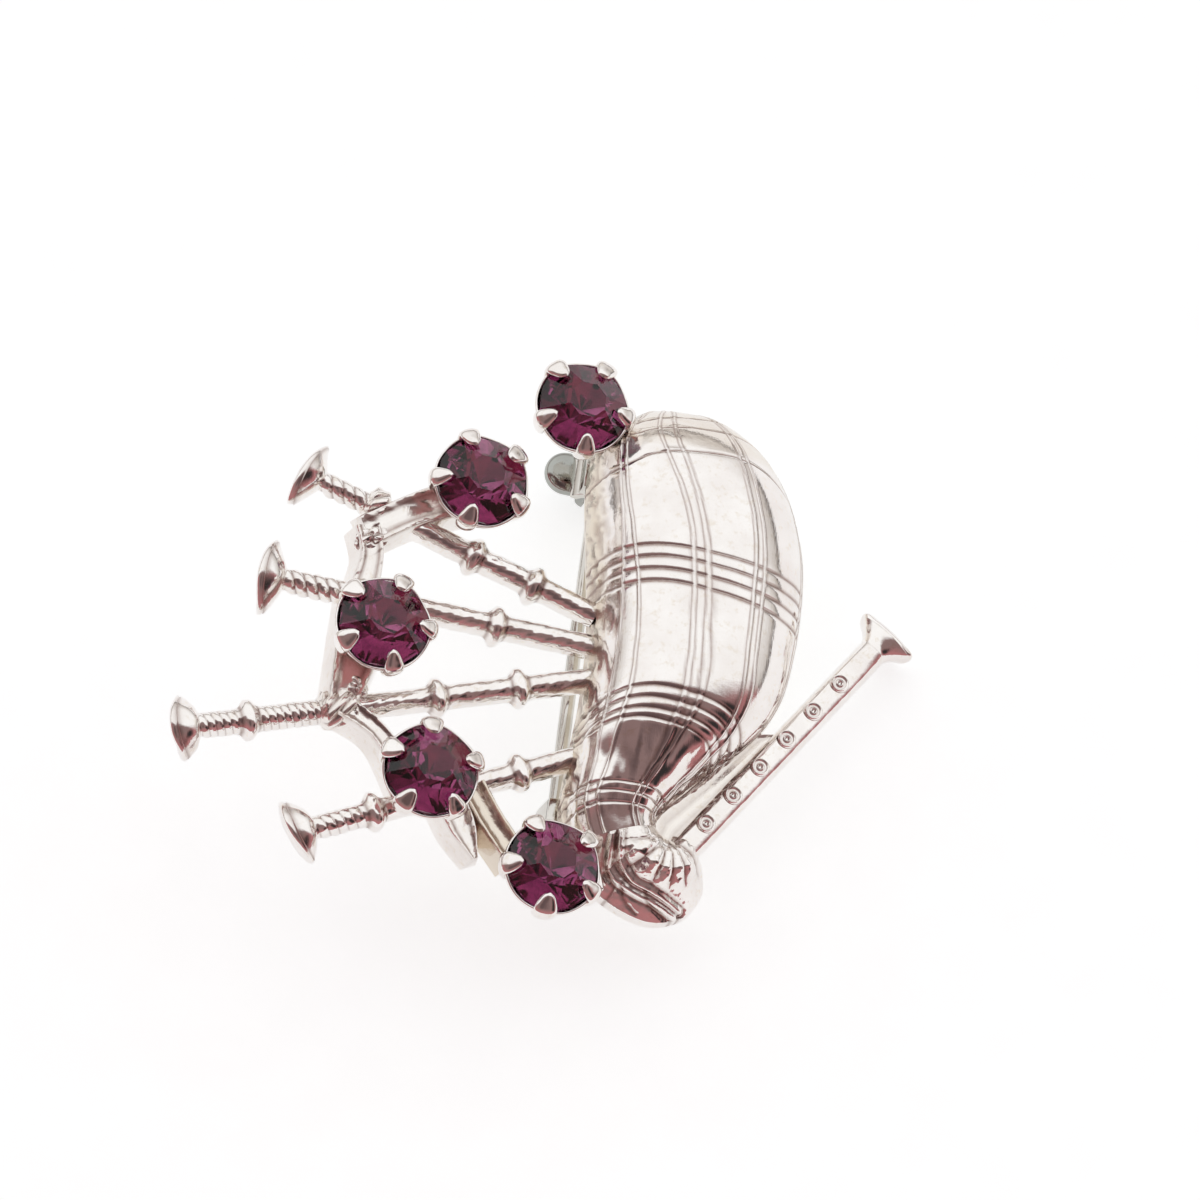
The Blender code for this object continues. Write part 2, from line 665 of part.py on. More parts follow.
def catch_housing():
    """Open C round the rotor on a solid foot, about the rotor's axis."""
    bore = ROTOR_RADIUS + RUN_GAP
    outer = bore + HOUSING_WALL
    first, last = HOUSING_ARC
    outline = arc(outer, first, last, 20) + arc(bore, last, first, 20)
    half = HOUSING_LENGTH / 2
    clasp = lengthwise(prism(outline, -half, half))
    top = -SEAT_GAP * 2 - PLATE_THICKNESS - PIN_LEVEL
    foot = box((-HOUSING_FOOT / 2, -half, bore + HOUSING_WALL * 0.4), (HOUSING_FOOT / 2, half, top))
    return combine(clasp, foot, "UNION")


def catch_rotor():
    """Slotted sleeve with a rounded thumb tab, about its own axis, with its slot at the back."""
    gap = math.degrees(math.asin(SLOT_WIDTH / 2 / ROTOR_RADIUS))
    bore_gap = math.degrees(math.asin(SLOT_WIDTH / 2 / ROTOR_BORE))
    outline = arc(ROTOR_RADIUS, -90 + gap, 270 - gap, 24)
    outline += arc(ROTOR_BORE, 270 - bore_gap, -90 + bore_gap, 16)
    half = ROTOR_LENGTH / 2
    sleeve = lengthwise(prism(outline, -half, half))
    round_end = arc(TAB_WIDTH / 2, 90, 270, 12, (-TAB_LENGTH + TAB_WIDTH / 2, 0.0))
    inner = -(ROTOR_RADIUS + ROTOR_BORE) / 2
    tab = round_end + [(inner, -TAB_WIDTH / 2), (inner, TAB_WIDTH / 2)]
    return combine(sleeve, prism(tab, -TAB_THICKNESS / 2, TAB_THICKNESS / 2), "UNION")


def finish_of(name, finish):
    """Material of one piece."""
    colour, roughness, metallic = finish
    material = bpy.data.materials.new(name)
    material.use_nodes = True
    shader = material.node_tree.nodes["Principled BSDF"]
    shader.inputs["Base Color"].default_value = colour + (1.0,)
    shader.inputs["Roughness"].default_value = roughness
    shader.inputs["Metallic"].default_value = metallic
    material.diffuse_color = colour + (1.0,)
    return material


def add(name, mesh, finish, brooch, place=(0.0, 0.0, 0.0), smooth=True):
    """Named piece of the brooch, at its place in the brooch's own frame."""
    mesh.name = name
    mesh.materials.clear()
    mesh.materials.append(finish_of(name, finish))
    for polygon in mesh.polygons:
        polygon.use_smooth = smooth
    if smooth:
        mesh.set_sharp_from_angle(angle=math.radians(35))
    made = bpy.data.objects.new(name, mesh)
    bpy.context.scene.collection.objects.link(made)
    made.parent = brooch
    made.location = place
    return made


def lay_down(brooch, pieces):
    """Lean the brooch about its pin line until it lies on the table, and centre it over the origin."""
    points = [piece.location + vertex.co for piece in pieces for vertex in piece.data.vertices]
    pin_side = min(points, key=lambda p: p.z)
    right_side = [p for p in points if p.x > pin_side.x + STONE_DIAMETER]
    lean = min(math.atan2(p.z - pin_side.z, p.x - pin_side.x) for p in right_side)
    brooch.rotation_euler = (0.0, lean, 0.0)
    turn = brooch.rotation_euler.to_matrix()
    laid = [turn @ p for p in points]
    low = [min(p[k] for p in laid) for k in range(3)]
    high = [max(p[k] for p in laid) for k in range(3)]
    brooch.location = (-(low[0] + high[0]) / 2, -(low[1] + high[1]) / 2, -low[2])


def main():
    for item in list(bpy.data.objects):
        bpy.data.objects.remove(item)
    brooch = bpy.data.objects.new("brooch", None)
    bpy.context.scene.collection.objects.link(brooch)
    pieces = []
    pieces.append(add("bag_shell", bag_shell(), SILVER, brooch))
    pieces.append(add("bag_back_plate", back_plate(), SILVER, brooch))
    cuff = domed_solid(CUFF_STATIONS, CUFF_ROWS, CUFF_SIDES, ribs=CUFF_RIBS, sloped=True)
    cuff = combine(cuff, bag_tool(), "DIFFERENCE")
    cuff = combine(cuff, chanter_tool(SEAT_GAP), "DIFFERENCE")
    pieces.append(add("neck_cuff", cuff, SILVER, brooch))
    pieces.append(add("chanter", chanter(), SILVER, brooch))
    pieces.append(add("chanter_web", chanter_web(), SILVER, brooch))
    for name, spec in PIPES.items():
        made = combine(pipe(spec), bag_tool(), "DIFFERENCE")
        pieces.append(add(name, made, SILVER, brooch))
    laid = []
    for name, points in RIBBONS.items():
        made = ribbon(points)
        for spec in PIPES.values():
            made = combine(made, pipe(spec, SEAT_GAP), "DIFFERENCE")
        for earlier in laid:
            made = combine(made, ribbon(earlier), "DIFFERENCE")
        laid.append(points)
        pieces.append(add(name, made, SILVER, brooch))
    for name, spec in LUGS.items():
        made = combine(lug(spec), bag_tool(), "DIFFERENCE")
        made = combine(made, cuff_tool(), "DIFFERENCE")
        pieces.append(add(name, made, SILVER, brooch))
    for number, (place, level, turn) in enumerate(STONES, 1):
        girdle = (place[0], place[1], level + SEAT_GAP + SETTING_HEIGHT)
        pieces.append(add(f"stone_{number}_setting", setting(turn), SILVER, brooch, girdle))
        pieces.append(add(f"stone_{number}", stone(), AMETHYST, brooch, girdle, smooth=False))
    hinge = (PIN_LINE, HINGE_PLACE, PIN_LEVEL)
    catch = (PIN_LINE, CATCH_PLACE, PIN_LEVEL)
    pieces.append(add("hinge_bracket", hinge_bracket(), NICKEL, brooch, hinge))
    pieces.append(add("hinge_rivet", hinge_rivet(), NICKEL, brooch, hinge))
    pieces.append(add("pin_stem", pin_stem(), NICKEL, brooch, hinge))
    pieces.append(add("catch_housing", catch_housing(), NICKEL, brooch, catch))
    pieces.append(add("catch_rotor", catch_rotor(), NICKEL, brooch, catch))
    lay_down(brooch, pieces)


main()
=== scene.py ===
import json
from math import ceil, copysign, cos, hypot, pi, radians, sin

import bmesh
import bpy
import numpy as np
from mathutils import Matrix, Vector, noise


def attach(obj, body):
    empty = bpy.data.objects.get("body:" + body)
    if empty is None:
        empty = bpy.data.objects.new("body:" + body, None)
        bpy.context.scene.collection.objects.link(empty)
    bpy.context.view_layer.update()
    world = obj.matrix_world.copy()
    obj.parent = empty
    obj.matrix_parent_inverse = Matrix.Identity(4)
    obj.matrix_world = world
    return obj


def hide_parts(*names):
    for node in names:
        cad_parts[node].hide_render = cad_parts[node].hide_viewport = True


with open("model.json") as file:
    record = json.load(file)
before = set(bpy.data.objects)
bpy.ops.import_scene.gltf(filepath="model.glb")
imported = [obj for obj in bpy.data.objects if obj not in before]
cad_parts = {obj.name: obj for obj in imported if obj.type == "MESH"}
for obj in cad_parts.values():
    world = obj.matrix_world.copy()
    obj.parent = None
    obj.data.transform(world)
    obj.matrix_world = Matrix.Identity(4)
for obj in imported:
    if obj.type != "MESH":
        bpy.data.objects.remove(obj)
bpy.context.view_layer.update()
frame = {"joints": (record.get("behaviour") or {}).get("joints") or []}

# The brooch's own frame, in millimetres: x across, y along the pin stem, z out of the front
MM = 0.001
PIN_LINE, PIN_LEVEL = -0.4, -3.4
HINGE_PLACE, CATCH_PLACE = -13.8, 8.9
JOINTS = {joint["name"]: joint for joint in frame["joints"]}
AXIS_X = -np.array(JOINTS["pin_hinge"]["axis"])
AXIS_Y = -np.array(JOINTS["catch_turn"]["axis"])
AXES = np.array((AXIS_X, AXIS_Y, np.cross(AXIS_X, AXIS_Y)))
ORIGIN = np.array(JOINTS["pin_hinge"]["pos_m"]) - MM * np.array((PIN_LINE, HINGE_PLACE, PIN_LEVEL)) @ AXES

# Bag and cuff: stations along each, (left edge, right edge, height of the dome)
BAG_STATIONS = (
    ((1.9, 12.4), (4.0, 12.6), 0.5),
    ((0.4, 11.5), (6.5, 11.8), 2.7),
    ((-1.4, 9.3), (8.9, 9.8), 4.8),
    ((-1.7, 6.5), (10.6, 7.0), 5.8),
    ((-1.2, 2.6), (11.7, 2.9), 6.3),
    ((-0.6, -2.0), (11.7, -2.2), 6.3),
    ((-0.5, -6.4), (10.6, -6.4), 5.8),
    ((-0.8, -10.6), (7.4, -10.4), 4.9),
    ((-0.9, -13.6), (4.9, -13.1), 4.0),
    ((-0.2, -16.2), (4.8, -14.0), 3.6),
)
BAG_LENGTH = 29.0
CUFF_STATIONS = (
    BAG_STATIONS[-1],
    ((1.8, -18.4), (4.9, -14.1), 3.6),
    ((4.8, -19.5), (5.1, -14.2), 3.5),
    ((7.1, -18.8), (5.3, -14.3), 3.2),
    ((8.0, -17.3), (5.5, -14.4), 2.8),
    ((7.9, -15.9), (5.6, -14.1), 2.4),
)

# Fullness of the section and of the cuff's left side, height of the cuff's low rim, and the share of the
# cuff in which its left side falls away; then its corded hem, its creases and the centre of its gathers
DOME_POWER, CUFF_POWER, CUFF_RIM, CUFF_TURN = 2.5, 1.02, 0.85, 0.16
HEM = (
    ((2.4, -13.9), (2.2, -15.0), (2.4, -16.4), (3.4, -17.6), (4.8, -18.1), (6.7, -18.6)),
    ((1.8, -14.4), (1.7, -15.6), (1.9, -16.8), (2.6, -17.7), (4.0, -18.3), (6.5, -18.95)),
)
CREASES = (
    ((2.0, -17.4), (2.6, -18.1), (2.2, -19.0)),
    ((2.9, -17.9), (3.3, -18.6), (4.2, -19.2)),
    ((4.3, -18.2), (4.9, -18.8), (5.9, -19.2)),
)
GATHER = (4.9, -14.5)
HEM_WIDTH, HEM_HEIGHT, FOLD_HEIGHT = 0.13, 0.13, 0.24

# Back plate, a seam below the bag
SEAM = 0.03
PLATE_TOP, PLATE_THICKNESS, PLATE_INSET = -SEAM, 0.6, 0.1
BACK_LEVEL = PLATE_TOP - SEAM - PLATE_THICKNESS

# Relief of the bag: lines of its check, the bulge above its neck, its rough wall and its beaten face
LINE_WIDTH, RIDGE_HEIGHT, GROOVE_DEPTH = 0.085, 0.042, 0.050
BULGE_HEIGHT, WALL_RELIEF, BEATEN_RELIEF = 0.30, 0.24, 0.014

# Tartan check: ridges run down the bag at a share across it, given at six stations;
# grooves cross it at a share down it, given at six places across
RIDGES = (
    (0.21, 0.21, 0.217, 0.21, 0.255, 0.30),
    (0.235, 0.235, 0.25, 0.292, 0.335, 0.39),
    (0.34, 0.368, 0.437, 0.461, 0.52, 0.56),
    (0.41, 0.43, 0.472, 0.494, 0.548, 0.60),
    (0.60, 0.598, 0.592, 0.597, 0.715, 0.78),
    (0.63, 0.628, 0.62, 0.63, 0.752, 0.815),
    (0.88, 0.88, 0.843, 0.835, 0.87, 0.90),
    (0.91, 0.91, 0.872, 0.865, 0.90, 0.93),
)
GROOVES = (
    (0.215, 0.185, 0.155, 0.13, 0.145, 0.26),
    (0.265, 0.238, 0.205, 0.188, 0.215, 0.34),
    (0.345, 0.324, 0.284, 0.272, 0.32, 0.42),
    (0.478, 0.468, 0.465, 0.472, 0.476, 0.475),
    (0.495, 0.486, 0.482, 0.49, 0.494, 0.492),
    (0.512, 0.503, 0.50, 0.508, 0.513, 0.51),
    (0.53, 0.521, 0.517, 0.526, 0.532, 0.528),
    (0.722, 0.696, 0.677, 0.688, 0.72, 0.75),
    (0.74, 0.714, 0.695, 0.706, 0.738, 0.766),
    (0.756, 0.731, 0.712, 0.722, 0.754, 0.782),
    (0.77, 0.745, 0.726, 0.737, 0.769, 0.797),
    (0.88, 0.862, 0.85, 0.852, 0.87, 0.89),
    (0.902, 0.885, 0.873, 0.875, 0.892, 0.91),
    (0.934, 0.917, 0.905, 0.906, 0.92, 0.935),
)

# Pipes: root, tip of the bell, collars and start of the rope by distance from the root, rope pitch and
# depth, radius of the bell, power of its flare, its turn and droop, share by which the outer stem is thinner
PIPE_RADIUS, PIPE_LEVEL, PIPE_SIDES = 0.68, 1.0, 48
COLLAR_RISE, COLLAR_HALF = 0.44, 0.42
PIPES = {
    "upper_tenor_drone": (
        (-0.9, -1.3), (-18.7, 3.65), (3.5, 7.4), 14.4, 0.74, 0.13, 2.15, 1.0, 0.2, 0.45, 0.14),
    "lower_tenor_drone": (
        (-0.8, -3.4), (-20.2, -3.2), (5.4,), 14.0, 0.70, 0.13, 2.35, 0.8, 0.10, 0.65, 0.06),
    "bass_drone": (
        (-0.6, -5.6), (-23.95, -13.57), (4.0, 9.0, 20.4), 15.6, 0.46, 0.06, 1.95, 0.45, 0.08, 0.85, 0.0),
    "blowpipe": (
        (-0.4, -10.4), (-16.4, -18.5), (3.7, 12.9), 13.4, 0.58, 0.06, 1.97, 0.5, -0.2, 0.7, 0.04),
}

# Bells: shares of the round height that are left in front and at the back, and how softly the face bends;
# the lip's bead as shares along the lip and of the radius
BELL_LENGTH, BELL_LIP, BELL_DOME = 1.2, 0.36, 0.12
BELL_FRONT, BELL_BACK, BELL_BEND = 0.55, 0.85, 0.25
BELL_BEAD = (
    (0.06, 0.935), (0.16, 0.94), (0.30, 0.975), (0.46, 0.995),
    (0.62, 1.0), (0.78, 0.985), (0.9, 0.955), (1.0, 0.90),
)

# Ribbon wound round a drone: the drone, and where the winding starts and ends
WRAPS = {
    "upper_tenor_wrap": ("upper_tenor_drone", 13.1, 14.5),
    "lower_tenor_wrap": ("lower_tenor_drone", 13.1, 14.3),
    "bass_wrap": ("bass_drone", 13.8, 16.2),
}

# Chanter with its ringed finger holes: each ring's height, radius and stain
CHANTER_START, CHANTER_END = (6.55, -14.85), (17.25, 0.9)
CHANTER_WAY = np.subtract(CHANTER_END, CHANTER_START)
CHANTER_LENGTH = hypot(*CHANTER_WAY)
CHANTER_UNIT = CHANTER_WAY / CHANTER_LENGTH
CHANTER_SIDE = np.array((-CHANTER_UNIT[1], CHANTER_UNIT[0]))
CHANTER_LEVEL, CHANTER_RADIUS = 1.5, 0.88
CHANTER_BELL, CHANTER_BELL_LENGTH, CHANTER_FLARE, CHANTER_FRONT = 1.94, 1.6, 1.7, 0.43
HOLE_COUNT, HOLE_FIRST, HOLE_PITCH, HOLE_SIDE, HOLE_SIDES = 6, 1.75, 2.49, 0.12, 36
HOLE_RINGS = (
    (-0.34, 0.62, 0.5), (-0.06, 0.575, 0.4), (0.06, 0.535, 0.05), (0.115, 0.47, 0),
    (0.10, 0.405, 0), (0.02, 0.36, 0.2), (0.01, 0.27, 0.2), (0.06, 0.225, 0),
    (0.09, 0.17, 0), (0.07, 0.12, 0), (-0.04, 0.075, 0.2), (-0.10, 0.03, 0.2),
)

# Web beside the chanter: its upper face as a share across it, the drop from its top, and stain
WEB_REACH, WEB_SPAN, WEB_LEVELS = 0.3, (-0.3, 9.9), (0.3, 1.2)
WEB_FACE = (
    (0.0, 0.1, 0.1), (0.10, 0.0, 0), (0.22, 0.04, 0.15), (0.34, 0.07, 0.3), (0.46, 0.02, 0),
    (0.54, 0.02, 0), (0.66, 0.07, 0.3), (0.80, 0.05, 0.15), (0.92, 0.0, 0), (1.0, 0.0, 0),
)

# Ribbons: centre line with the foot width at each point, and how far the face is sunk
RIBBON_FOOT, RIBBON_TOP, RIBBON_BEVEL = 0.1, 2.0, 0.35
RIBBONS = {
    "ribbon_to_stone_1": ((-14.7, 0.5, 2.6), (-12.1, 2.4, 2.6), (-9.2, 4.0, 3.0)),
    "ribbon_between_tenors": ((-14.7, 0.9, 2.1), (-14.2, -0.9, 2.0), (-14.4, -3.1, 2.3)),
    "ribbon_tenor_to_bass": ((-14.7, -3.2, 2.4), (-14.2, -6.0, 3.4), (-14.8, -10.4, 2.3)),
    "ribbon_bass_to_blowpipe": ((-14.8, -10.4, 2.0), (-12.2, -11.8, 1.8), (-9.6, -15.2, 2.6)),
    "ribbon_tail": ((-8.0, -14.3, 2.4), (-6.8, -16.3, 2.3), (-5.8, -18.1, 1.0)),
    "ribbon_to_stone_5": ((-6.5, -13.7, 2.2), (-5.1, -15.6, 2.2), (-3.3, -17.6, 2.2)),
}
RIBBON_SINK, DEEP_SINK = 0.11, {"ribbon_to_stone_5": 0.35}
RIBBON_STAIN = (0, 0, 0.1, 0.3, 0.1, 0.1, 0.8, 0.05)

# Stones: place, height of the seat and turn of the claws
STONE_RADIUS, STONE_CROWN, STONE_PAVILION, STONE_RIM = 2.675, 1.25, 1.7, 0.09
TABLE_SHARE, MAIN_FACET = 0.42, 30.0
STONES = (
    ((-8.8, 4.1), RIBBON_TOP, 44.0),
    ((-3.3, 10.2), 1.6, 65.0),
    ((-13.4, -5.9), RIBBON_TOP, 73.0),
    ((-9.5, -14.2), RIBBON_TOP, 23.0),
    ((-1.7, -18.5), RIBBON_TOP, 48.0),
)

# Settings: the cup's section as radius, height and share of the dip between two claws
SETTING_HEIGHT = 2.18
CLAWS, CLAW_WIDTH, CLAW_REACH, CLAW_THICKNESS, CLAW_STRAY = 5, 1.15, 0.55, 0.40, 2.5
CUP_FLOOR = -SETTING_HEIGHT + SEAM
CUP_SECTION = (
    (1.0, CUP_FLOOR + 0.2, 0), (1.0, CUP_FLOOR + 0.04, 0), (1.06, CUP_FLOOR, 0), (1.70, CUP_FLOOR, 0),
    (1.88, CUP_FLOOR + 0.07, 0), (1.99, CUP_FLOOR + 0.22, 0), (2.30, -1.30, 0), (2.62, -0.75, 0.1),
    (2.80, -0.40, 0.5), (2.885, -0.12, 0.9), (2.90, 0.02, 1), (2.875, 0.10, 1), (2.82, 0.125, 1),
    (2.76, 0.10, 1), (2.72, 0.02, 1), (2.70, -0.25, 0.8), (2.30, -0.98, 0),
    (1.85, CUP_FLOOR + 0.24, 0), (1.06, CUP_FLOOR + 0.22, 0),
)

# Lugs under two of the stones: inner and outer end, width and top; knots: place, size, turn and seed
LUGS = {
    "stone_2_lug": ((-4.0, 10.2), (0.9, 10.0), 2.0, 1.6),
    "stone_5_lug": ((-2.2, -18.6), (1.7, -17.4), 2.2, RIBBON_TOP),
}
LUG_THICKNESS = 0.9
KNOTS = {
    "tenor_knot": ((-14.3, 0.2, 1.55), (1.15, 0.75, 0.62), 35.0, 0.4),
    "bass_knot": ((-14.0, -9.2, 1.5), (0.9, 0.7, 0.6), -50.0, 2.1),
}

# Pin back
EAR_RADIUS, EAR_THICKNESS, KNUCKLE_WIDTH, KNUCKLE_RADIUS, RUN_GAP = 1.5, 0.45, 0.9, 1.0, 0.06
BRACKET_LENGTH, BRACKET_BASE = 2.6, 0.45
RIVET_RADIUS, RIVET_HEAD, RIVET_HEAD_RADIUS = 0.4, 0.2, 0.62
STEM_RADIUS, STEM_TIP_RADIUS, STEM_OVERRUN = 0.42, 0.34, 1.2
ROTOR_BORE, ROTOR_RADIUS, ROTOR_LENGTH, SLOT_WIDTH = 0.64, 1.15, 3.0, 0.96
HOUSING_WALL, HOUSING_LENGTH, HOUSING_ARC, HOUSING_FOOT = 0.55, 3.4, (-60.0, 160.0), 2.6
TAB_LENGTH, TAB_WIDTH, TAB_THICKNESS = 3.2, 2.6, 1.2

# Metals: bright and dull plating, raw casting and stain, then roughness and strength of the fine relief
METALS = {
    "silver": (
        (0.96, 0.93, 0.905, 1), (0.89, 0.845, 0.815, 1),
        (0.78, 0.69, 0.57, 1), (0.30, 0.195, 0.165, 1), 0.075, 0.5),
    "nickel": (
        (0.76, 0.735, 0.69, 1), (0.62, 0.60, 0.56, 1),
        (0.60, 0.56, 0.50, 1), (0.22, 0.19, 0.165, 1), 0.10, 0.35),
    # Nickel of the catch's rotor, darkened as painted shade for the shadow of the bag and the second stone
    "shaded_nickel": (
        (0.44, 0.45, 0.42, 1), (0.35, 0.355, 0.335, 1),
        (0.40, 0.38, 0.34, 1), (0.16, 0.14, 0.12, 1), 0.06, 0.35),
}
GLASS_TONES, GLASS_INDEX = ((0.46, 0.185, 0.325, 1), (0.39, 0.142, 0.28, 1)), 1.56
FOIL_TONES = (0.73, 0.41, 0.56, 1), (0.49, 0.24, 0.38, 1)

# Camera, in degrees, metres, pixels and millimetres of the sensor
CAMERA_AZIMUTH, CAMERA_ELEVATION, CAMERA_DISTANCE = 6.7, 68.0, 0.45
IMAGE_SIZE, PIXELS_PER_METRE, SENSOR = 1200, 17000, 36.0

# Surroundings: table, pale screen behind and plum room in front; a shade round the camera and a dark patch
# in the room, each with its azimuth, elevation, outer edge and inner edge in degrees
WHITE = (1, 1, 1, 1)
TABLE_TONES = (0.552, 0.590, 0.595, 1), (0.528, 0.562, 0.567, 1)
TABLE_GLOW, MIRRORED_GLOW = 0.70, 0.9
SCREEN_FOOT, SCREEN_LOW = (0.14, 0.12, 0.115, 1), (0.60, 0.56, 0.53, 1)
ROOM_LOW, ROOM_HIGH = (0.44, 0.19, 0.195, 1), (0.25, 0.165, 0.16, 1)
SHADE, SHADE_TONE = (CAMERA_AZIMUTH, CAMERA_ELEVATION - 4, 24, 12), (0.13, 0.085, 0.085, 1)
PATCH, PATCH_TONE = (66, 25, 20, 8), (0.035, 0.03, 0.03, 1)


def curve(points, t):
    """Smooth curve through evenly spaced points, at each share t."""
    points = np.asarray(points, float)
    t = np.asarray(t, float)
    spans = len(points) - 1
    k = np.clip((t * spans).astype(int), 0, spans - 1)
    f = t * spans - k
    if points.ndim > 1:
        f = f[..., None]
    a, b = points[np.maximum(k - 1, 0)], points[k]
    c, d = points[k + 1], points[np.minimum(k + 2, spans)]
    return b + 0.5 * f * (c - a + f * (2 * a - 5 * b + 4 * c - d + f * (3 * (b - c) + d - a)))


def ease(low, high, value):
    """0 below low, 1 above high and smooth between."""
    t = np.clip((value - low) / (high - low), 0, 1)
    return t * t * (3 - 2 * t)


def band(value, a, b, c, d):
    """1 from b to c, 0 outside a to d and smooth between."""
    return ease(a, b, value) * ease(d, c, value)


def unit(vectors):
    """Vectors scaled to a length of 1."""
    return vectors / np.linalg.norm(vectors, axis=-1, keepdims=True)


def bump(value, width, power=2):
    """Rounded hump of height 1 about zero."""
    return np.exp(-np.abs(value / width) ** power)


def wobble(a, b, seed):
    """Slow unevenness of a casting, about -1 to 1."""
    first = np.sin(1.7 * a + 2.3 * seed) * np.cos(1.3 * b + seed)
    second = np.sin(3.9 * a - 1.1 * seed + 2.7 * b) * 0.6
    return (first + second + 0.4 * np.sin(7.3 * a + 5.1 * b + 3.7 * seed)) / 2


def quads(rows, columns, around=False, base=0):
    """Faces of a grid of vertices that may close round its columns."""
    made = []
    for i in range(rows - 1):
        a = base + i * columns
        for k in range(columns if around else columns - 1):
            n = (k + 1) % columns
            made.append((a + k, a + n, a + columns + n, a + columns + k))
    return made


def end_faces(rows, columns):
    """Faces over the first and the last row of a grid."""
    return [tuple(range(columns)), tuple(range((rows - 1) * columns, rows * columns))]


def tube_faces(rows, sides):
    """Faces of a row of rings with flat ends."""
    return quads(rows, sides, around=True) + end_faces(rows, sides)


def loop_faces(rows, sides):
    """Faces of a row of rings whose last ring meets the first."""
    return [tuple(i % (rows * sides) for i in face) for face in quads(rows + 1, sides, around=True)]


def shell_faces(rows, columns):
    """Faces of two like grids, joined round their edges."""
    size = rows * columns
    grid = np.arange(size).reshape(rows, columns)
    loop = [*grid[0], *grid[1:, -1], *grid[-1, -2::-1], *grid[-2:0:-1, 0]]
    faces = quads(rows, columns) + quads(rows, columns, base=size)
    return faces + [(a, b, size + b, size + a) for a, b in zip(loop, loop[1:] + loop[:1])]


def dome_faces(rows, columns):
    """Faces of a dome with flat ends and a flat base."""
    m = columns
    base = [(i * m, (i + 1) * m - 1, (i + 2) * m - 1, (i + 1) * m) for i in range(rows - 1)]
    return quads(rows, m) + end_faces(rows, m) + base


def join(*parts):
    """Several (vertices, faces) shapes as one."""
    verts, faces = [], []
    for points, polygons in parts:
        base = sum(len(v) for v in verts)
        verts.append(np.asarray(points, float).reshape(-1, 3))
        faces += [tuple(base + i for i in face) for face in polygons]
    return np.concatenate(verts), faces


def shift(shape, place):
    """A shape moved to a place."""
    return shape[0] + np.array(place, float), shape[1]


def add_object(name, data):
    """New object in the scene."""
    made = bpy.data.objects.new(name, data)
    bpy.context.scene.collection.objects.link(made)
    return made


def piece(name, shape, materials, nodes=(), body="brooch", slot="silver_plate", sharp=40, marks=(), pick=()):
    """Named piece in the brooch's frame that rides on a body and stands for CAD nodes.

    Marks give the material a value at each vertex, or one value for all."""
    verts, faces = np.reshape(shape[0], (-1, 3)), shape[1]
    mesh = bpy.data.meshes.new(name)
    mesh.from_pydata((ORIGIN + MM * verts @ AXES).tolist(), [], faces)
    bm = bmesh.new()
    bm.from_mesh(mesh)
    bmesh.ops.recalc_face_normals(bm, faces=bm.faces)
    bm.to_mesh(mesh)
    bm.free()
    for mark, values in dict(marks).items():
        layer = mesh.attributes.new(mark, "FLOAT", "POINT")
        values = np.broadcast_to(np.ravel(values), len(verts))
        layer.data.foreach_set("value", np.array(values, np.float32))
    for material in materials:
        mesh.materials.append(material)
    for polygon in mesh.polygons:
        polygon.use_smooth = sharp > 0
        if pick:
            polygon.material_index = pick[polygon.index]
    if sharp > 0:
        mesh.set_sharp_from_angle(angle=radians(sharp))
    made = add_object(name, mesh)
    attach(made, body)
    if nodes:
        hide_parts(*nodes)


def prism(outline, low, high, bevel=0.08, segments=2):
    """Plate with a closed outline from height low to high and rounded edges."""
    bm = bmesh.new()
    corners = [bm.verts.new((x, y, z)) for z in (low, high) for x, y in outline]
    for face in end_faces(2, len(outline)) + quads(2, len(outline), around=True):
        bm.faces.new([corners[k] for k in face])
    bmesh.ops.recalc_face_normals(bm, faces=bm.faces)
    edges = [e for e in bm.edges if e.calc_face_angle(0) > radians(35)]
    bmesh.ops.bevel(
        bm, geom=edges, offset=bevel, segments=segments, profile=0.5, affect="EDGES", clamp_overlap=True)
    bm.verts.index_update()
    verts = np.array([v.co for v in bm.verts])
    faces = [tuple(v.index for v in f.verts) for f in bm.faces]
    bm.free()
    return verts, faces


def arc(radius, first, last, steps, centre=(0.0, 0.0)):
    """Points on an arc, with angles in degrees."""
    angles = np.radians(np.linspace(first, last, steps + 1))
    return [(centre[0] + radius * cos(a), centre[1] + radius * sin(a)) for a in angles]


def oblong(a, b):
    """Corners of a rectangle with half sides a and b."""
    return [(-a, -b), (a, -b), (a, b), (-a, b)]


def turns(sides):
    """Angles of points spaced evenly round a circle."""
    return np.arange(sides) * 2 * pi / sides


def ring_points(radius, height, sides):
    """Vertices of rings about z, whose radius and height may differ round each ring."""
    angle = turns(sides)
    radius, height = (np.asarray(v, float).reshape(len(v), -1) + 0 * angle for v in (radius, height))
    return np.stack((radius * np.cos(angle), radius * np.sin(angle), height), -1).reshape(-1, 3)


def revolve(distance, radius, sides):
    """Closed round body along +z; its last two vertices are the centres of its ends."""
    verts = ring_points(radius, distance, sides)
    base = len(verts)
    centres = verts[[0, -1]] * np.array((0, 0, 1))
    faces = quads(len(distance), sides, around=True)
    faces += [(base, (k + 1) % sides, k) for k in range(sides)]
    faces += [(base + 1, base - sides + k, base - sides + (k + 1) % sides) for k in range(sides)]
    return np.concatenate((verts, centres)), faces


def spin(degrees):
    """Axes turned about z."""
    c, s = cos(radians(degrees)), sin(radians(degrees))
    return np.array(((c, s, 0), (-s, c, 0), (0, 0, 1)))


def lay(shape, start, way):
    """A shape built along +z, laid from a start along a way in the brooch's plane."""
    way = np.array((*way, 0.0)) / hypot(*way)
    turn = np.array((np.cross((0, 0, 1), way), (0, 0, 1), way))
    return shape[0] @ turn + np.array(start), shape[1]


def across(shape):
    """A shape built along +z, turned so that its z lies along x and its x along y."""
    return shape[0][:, (2, 0, 1)], shape[1]


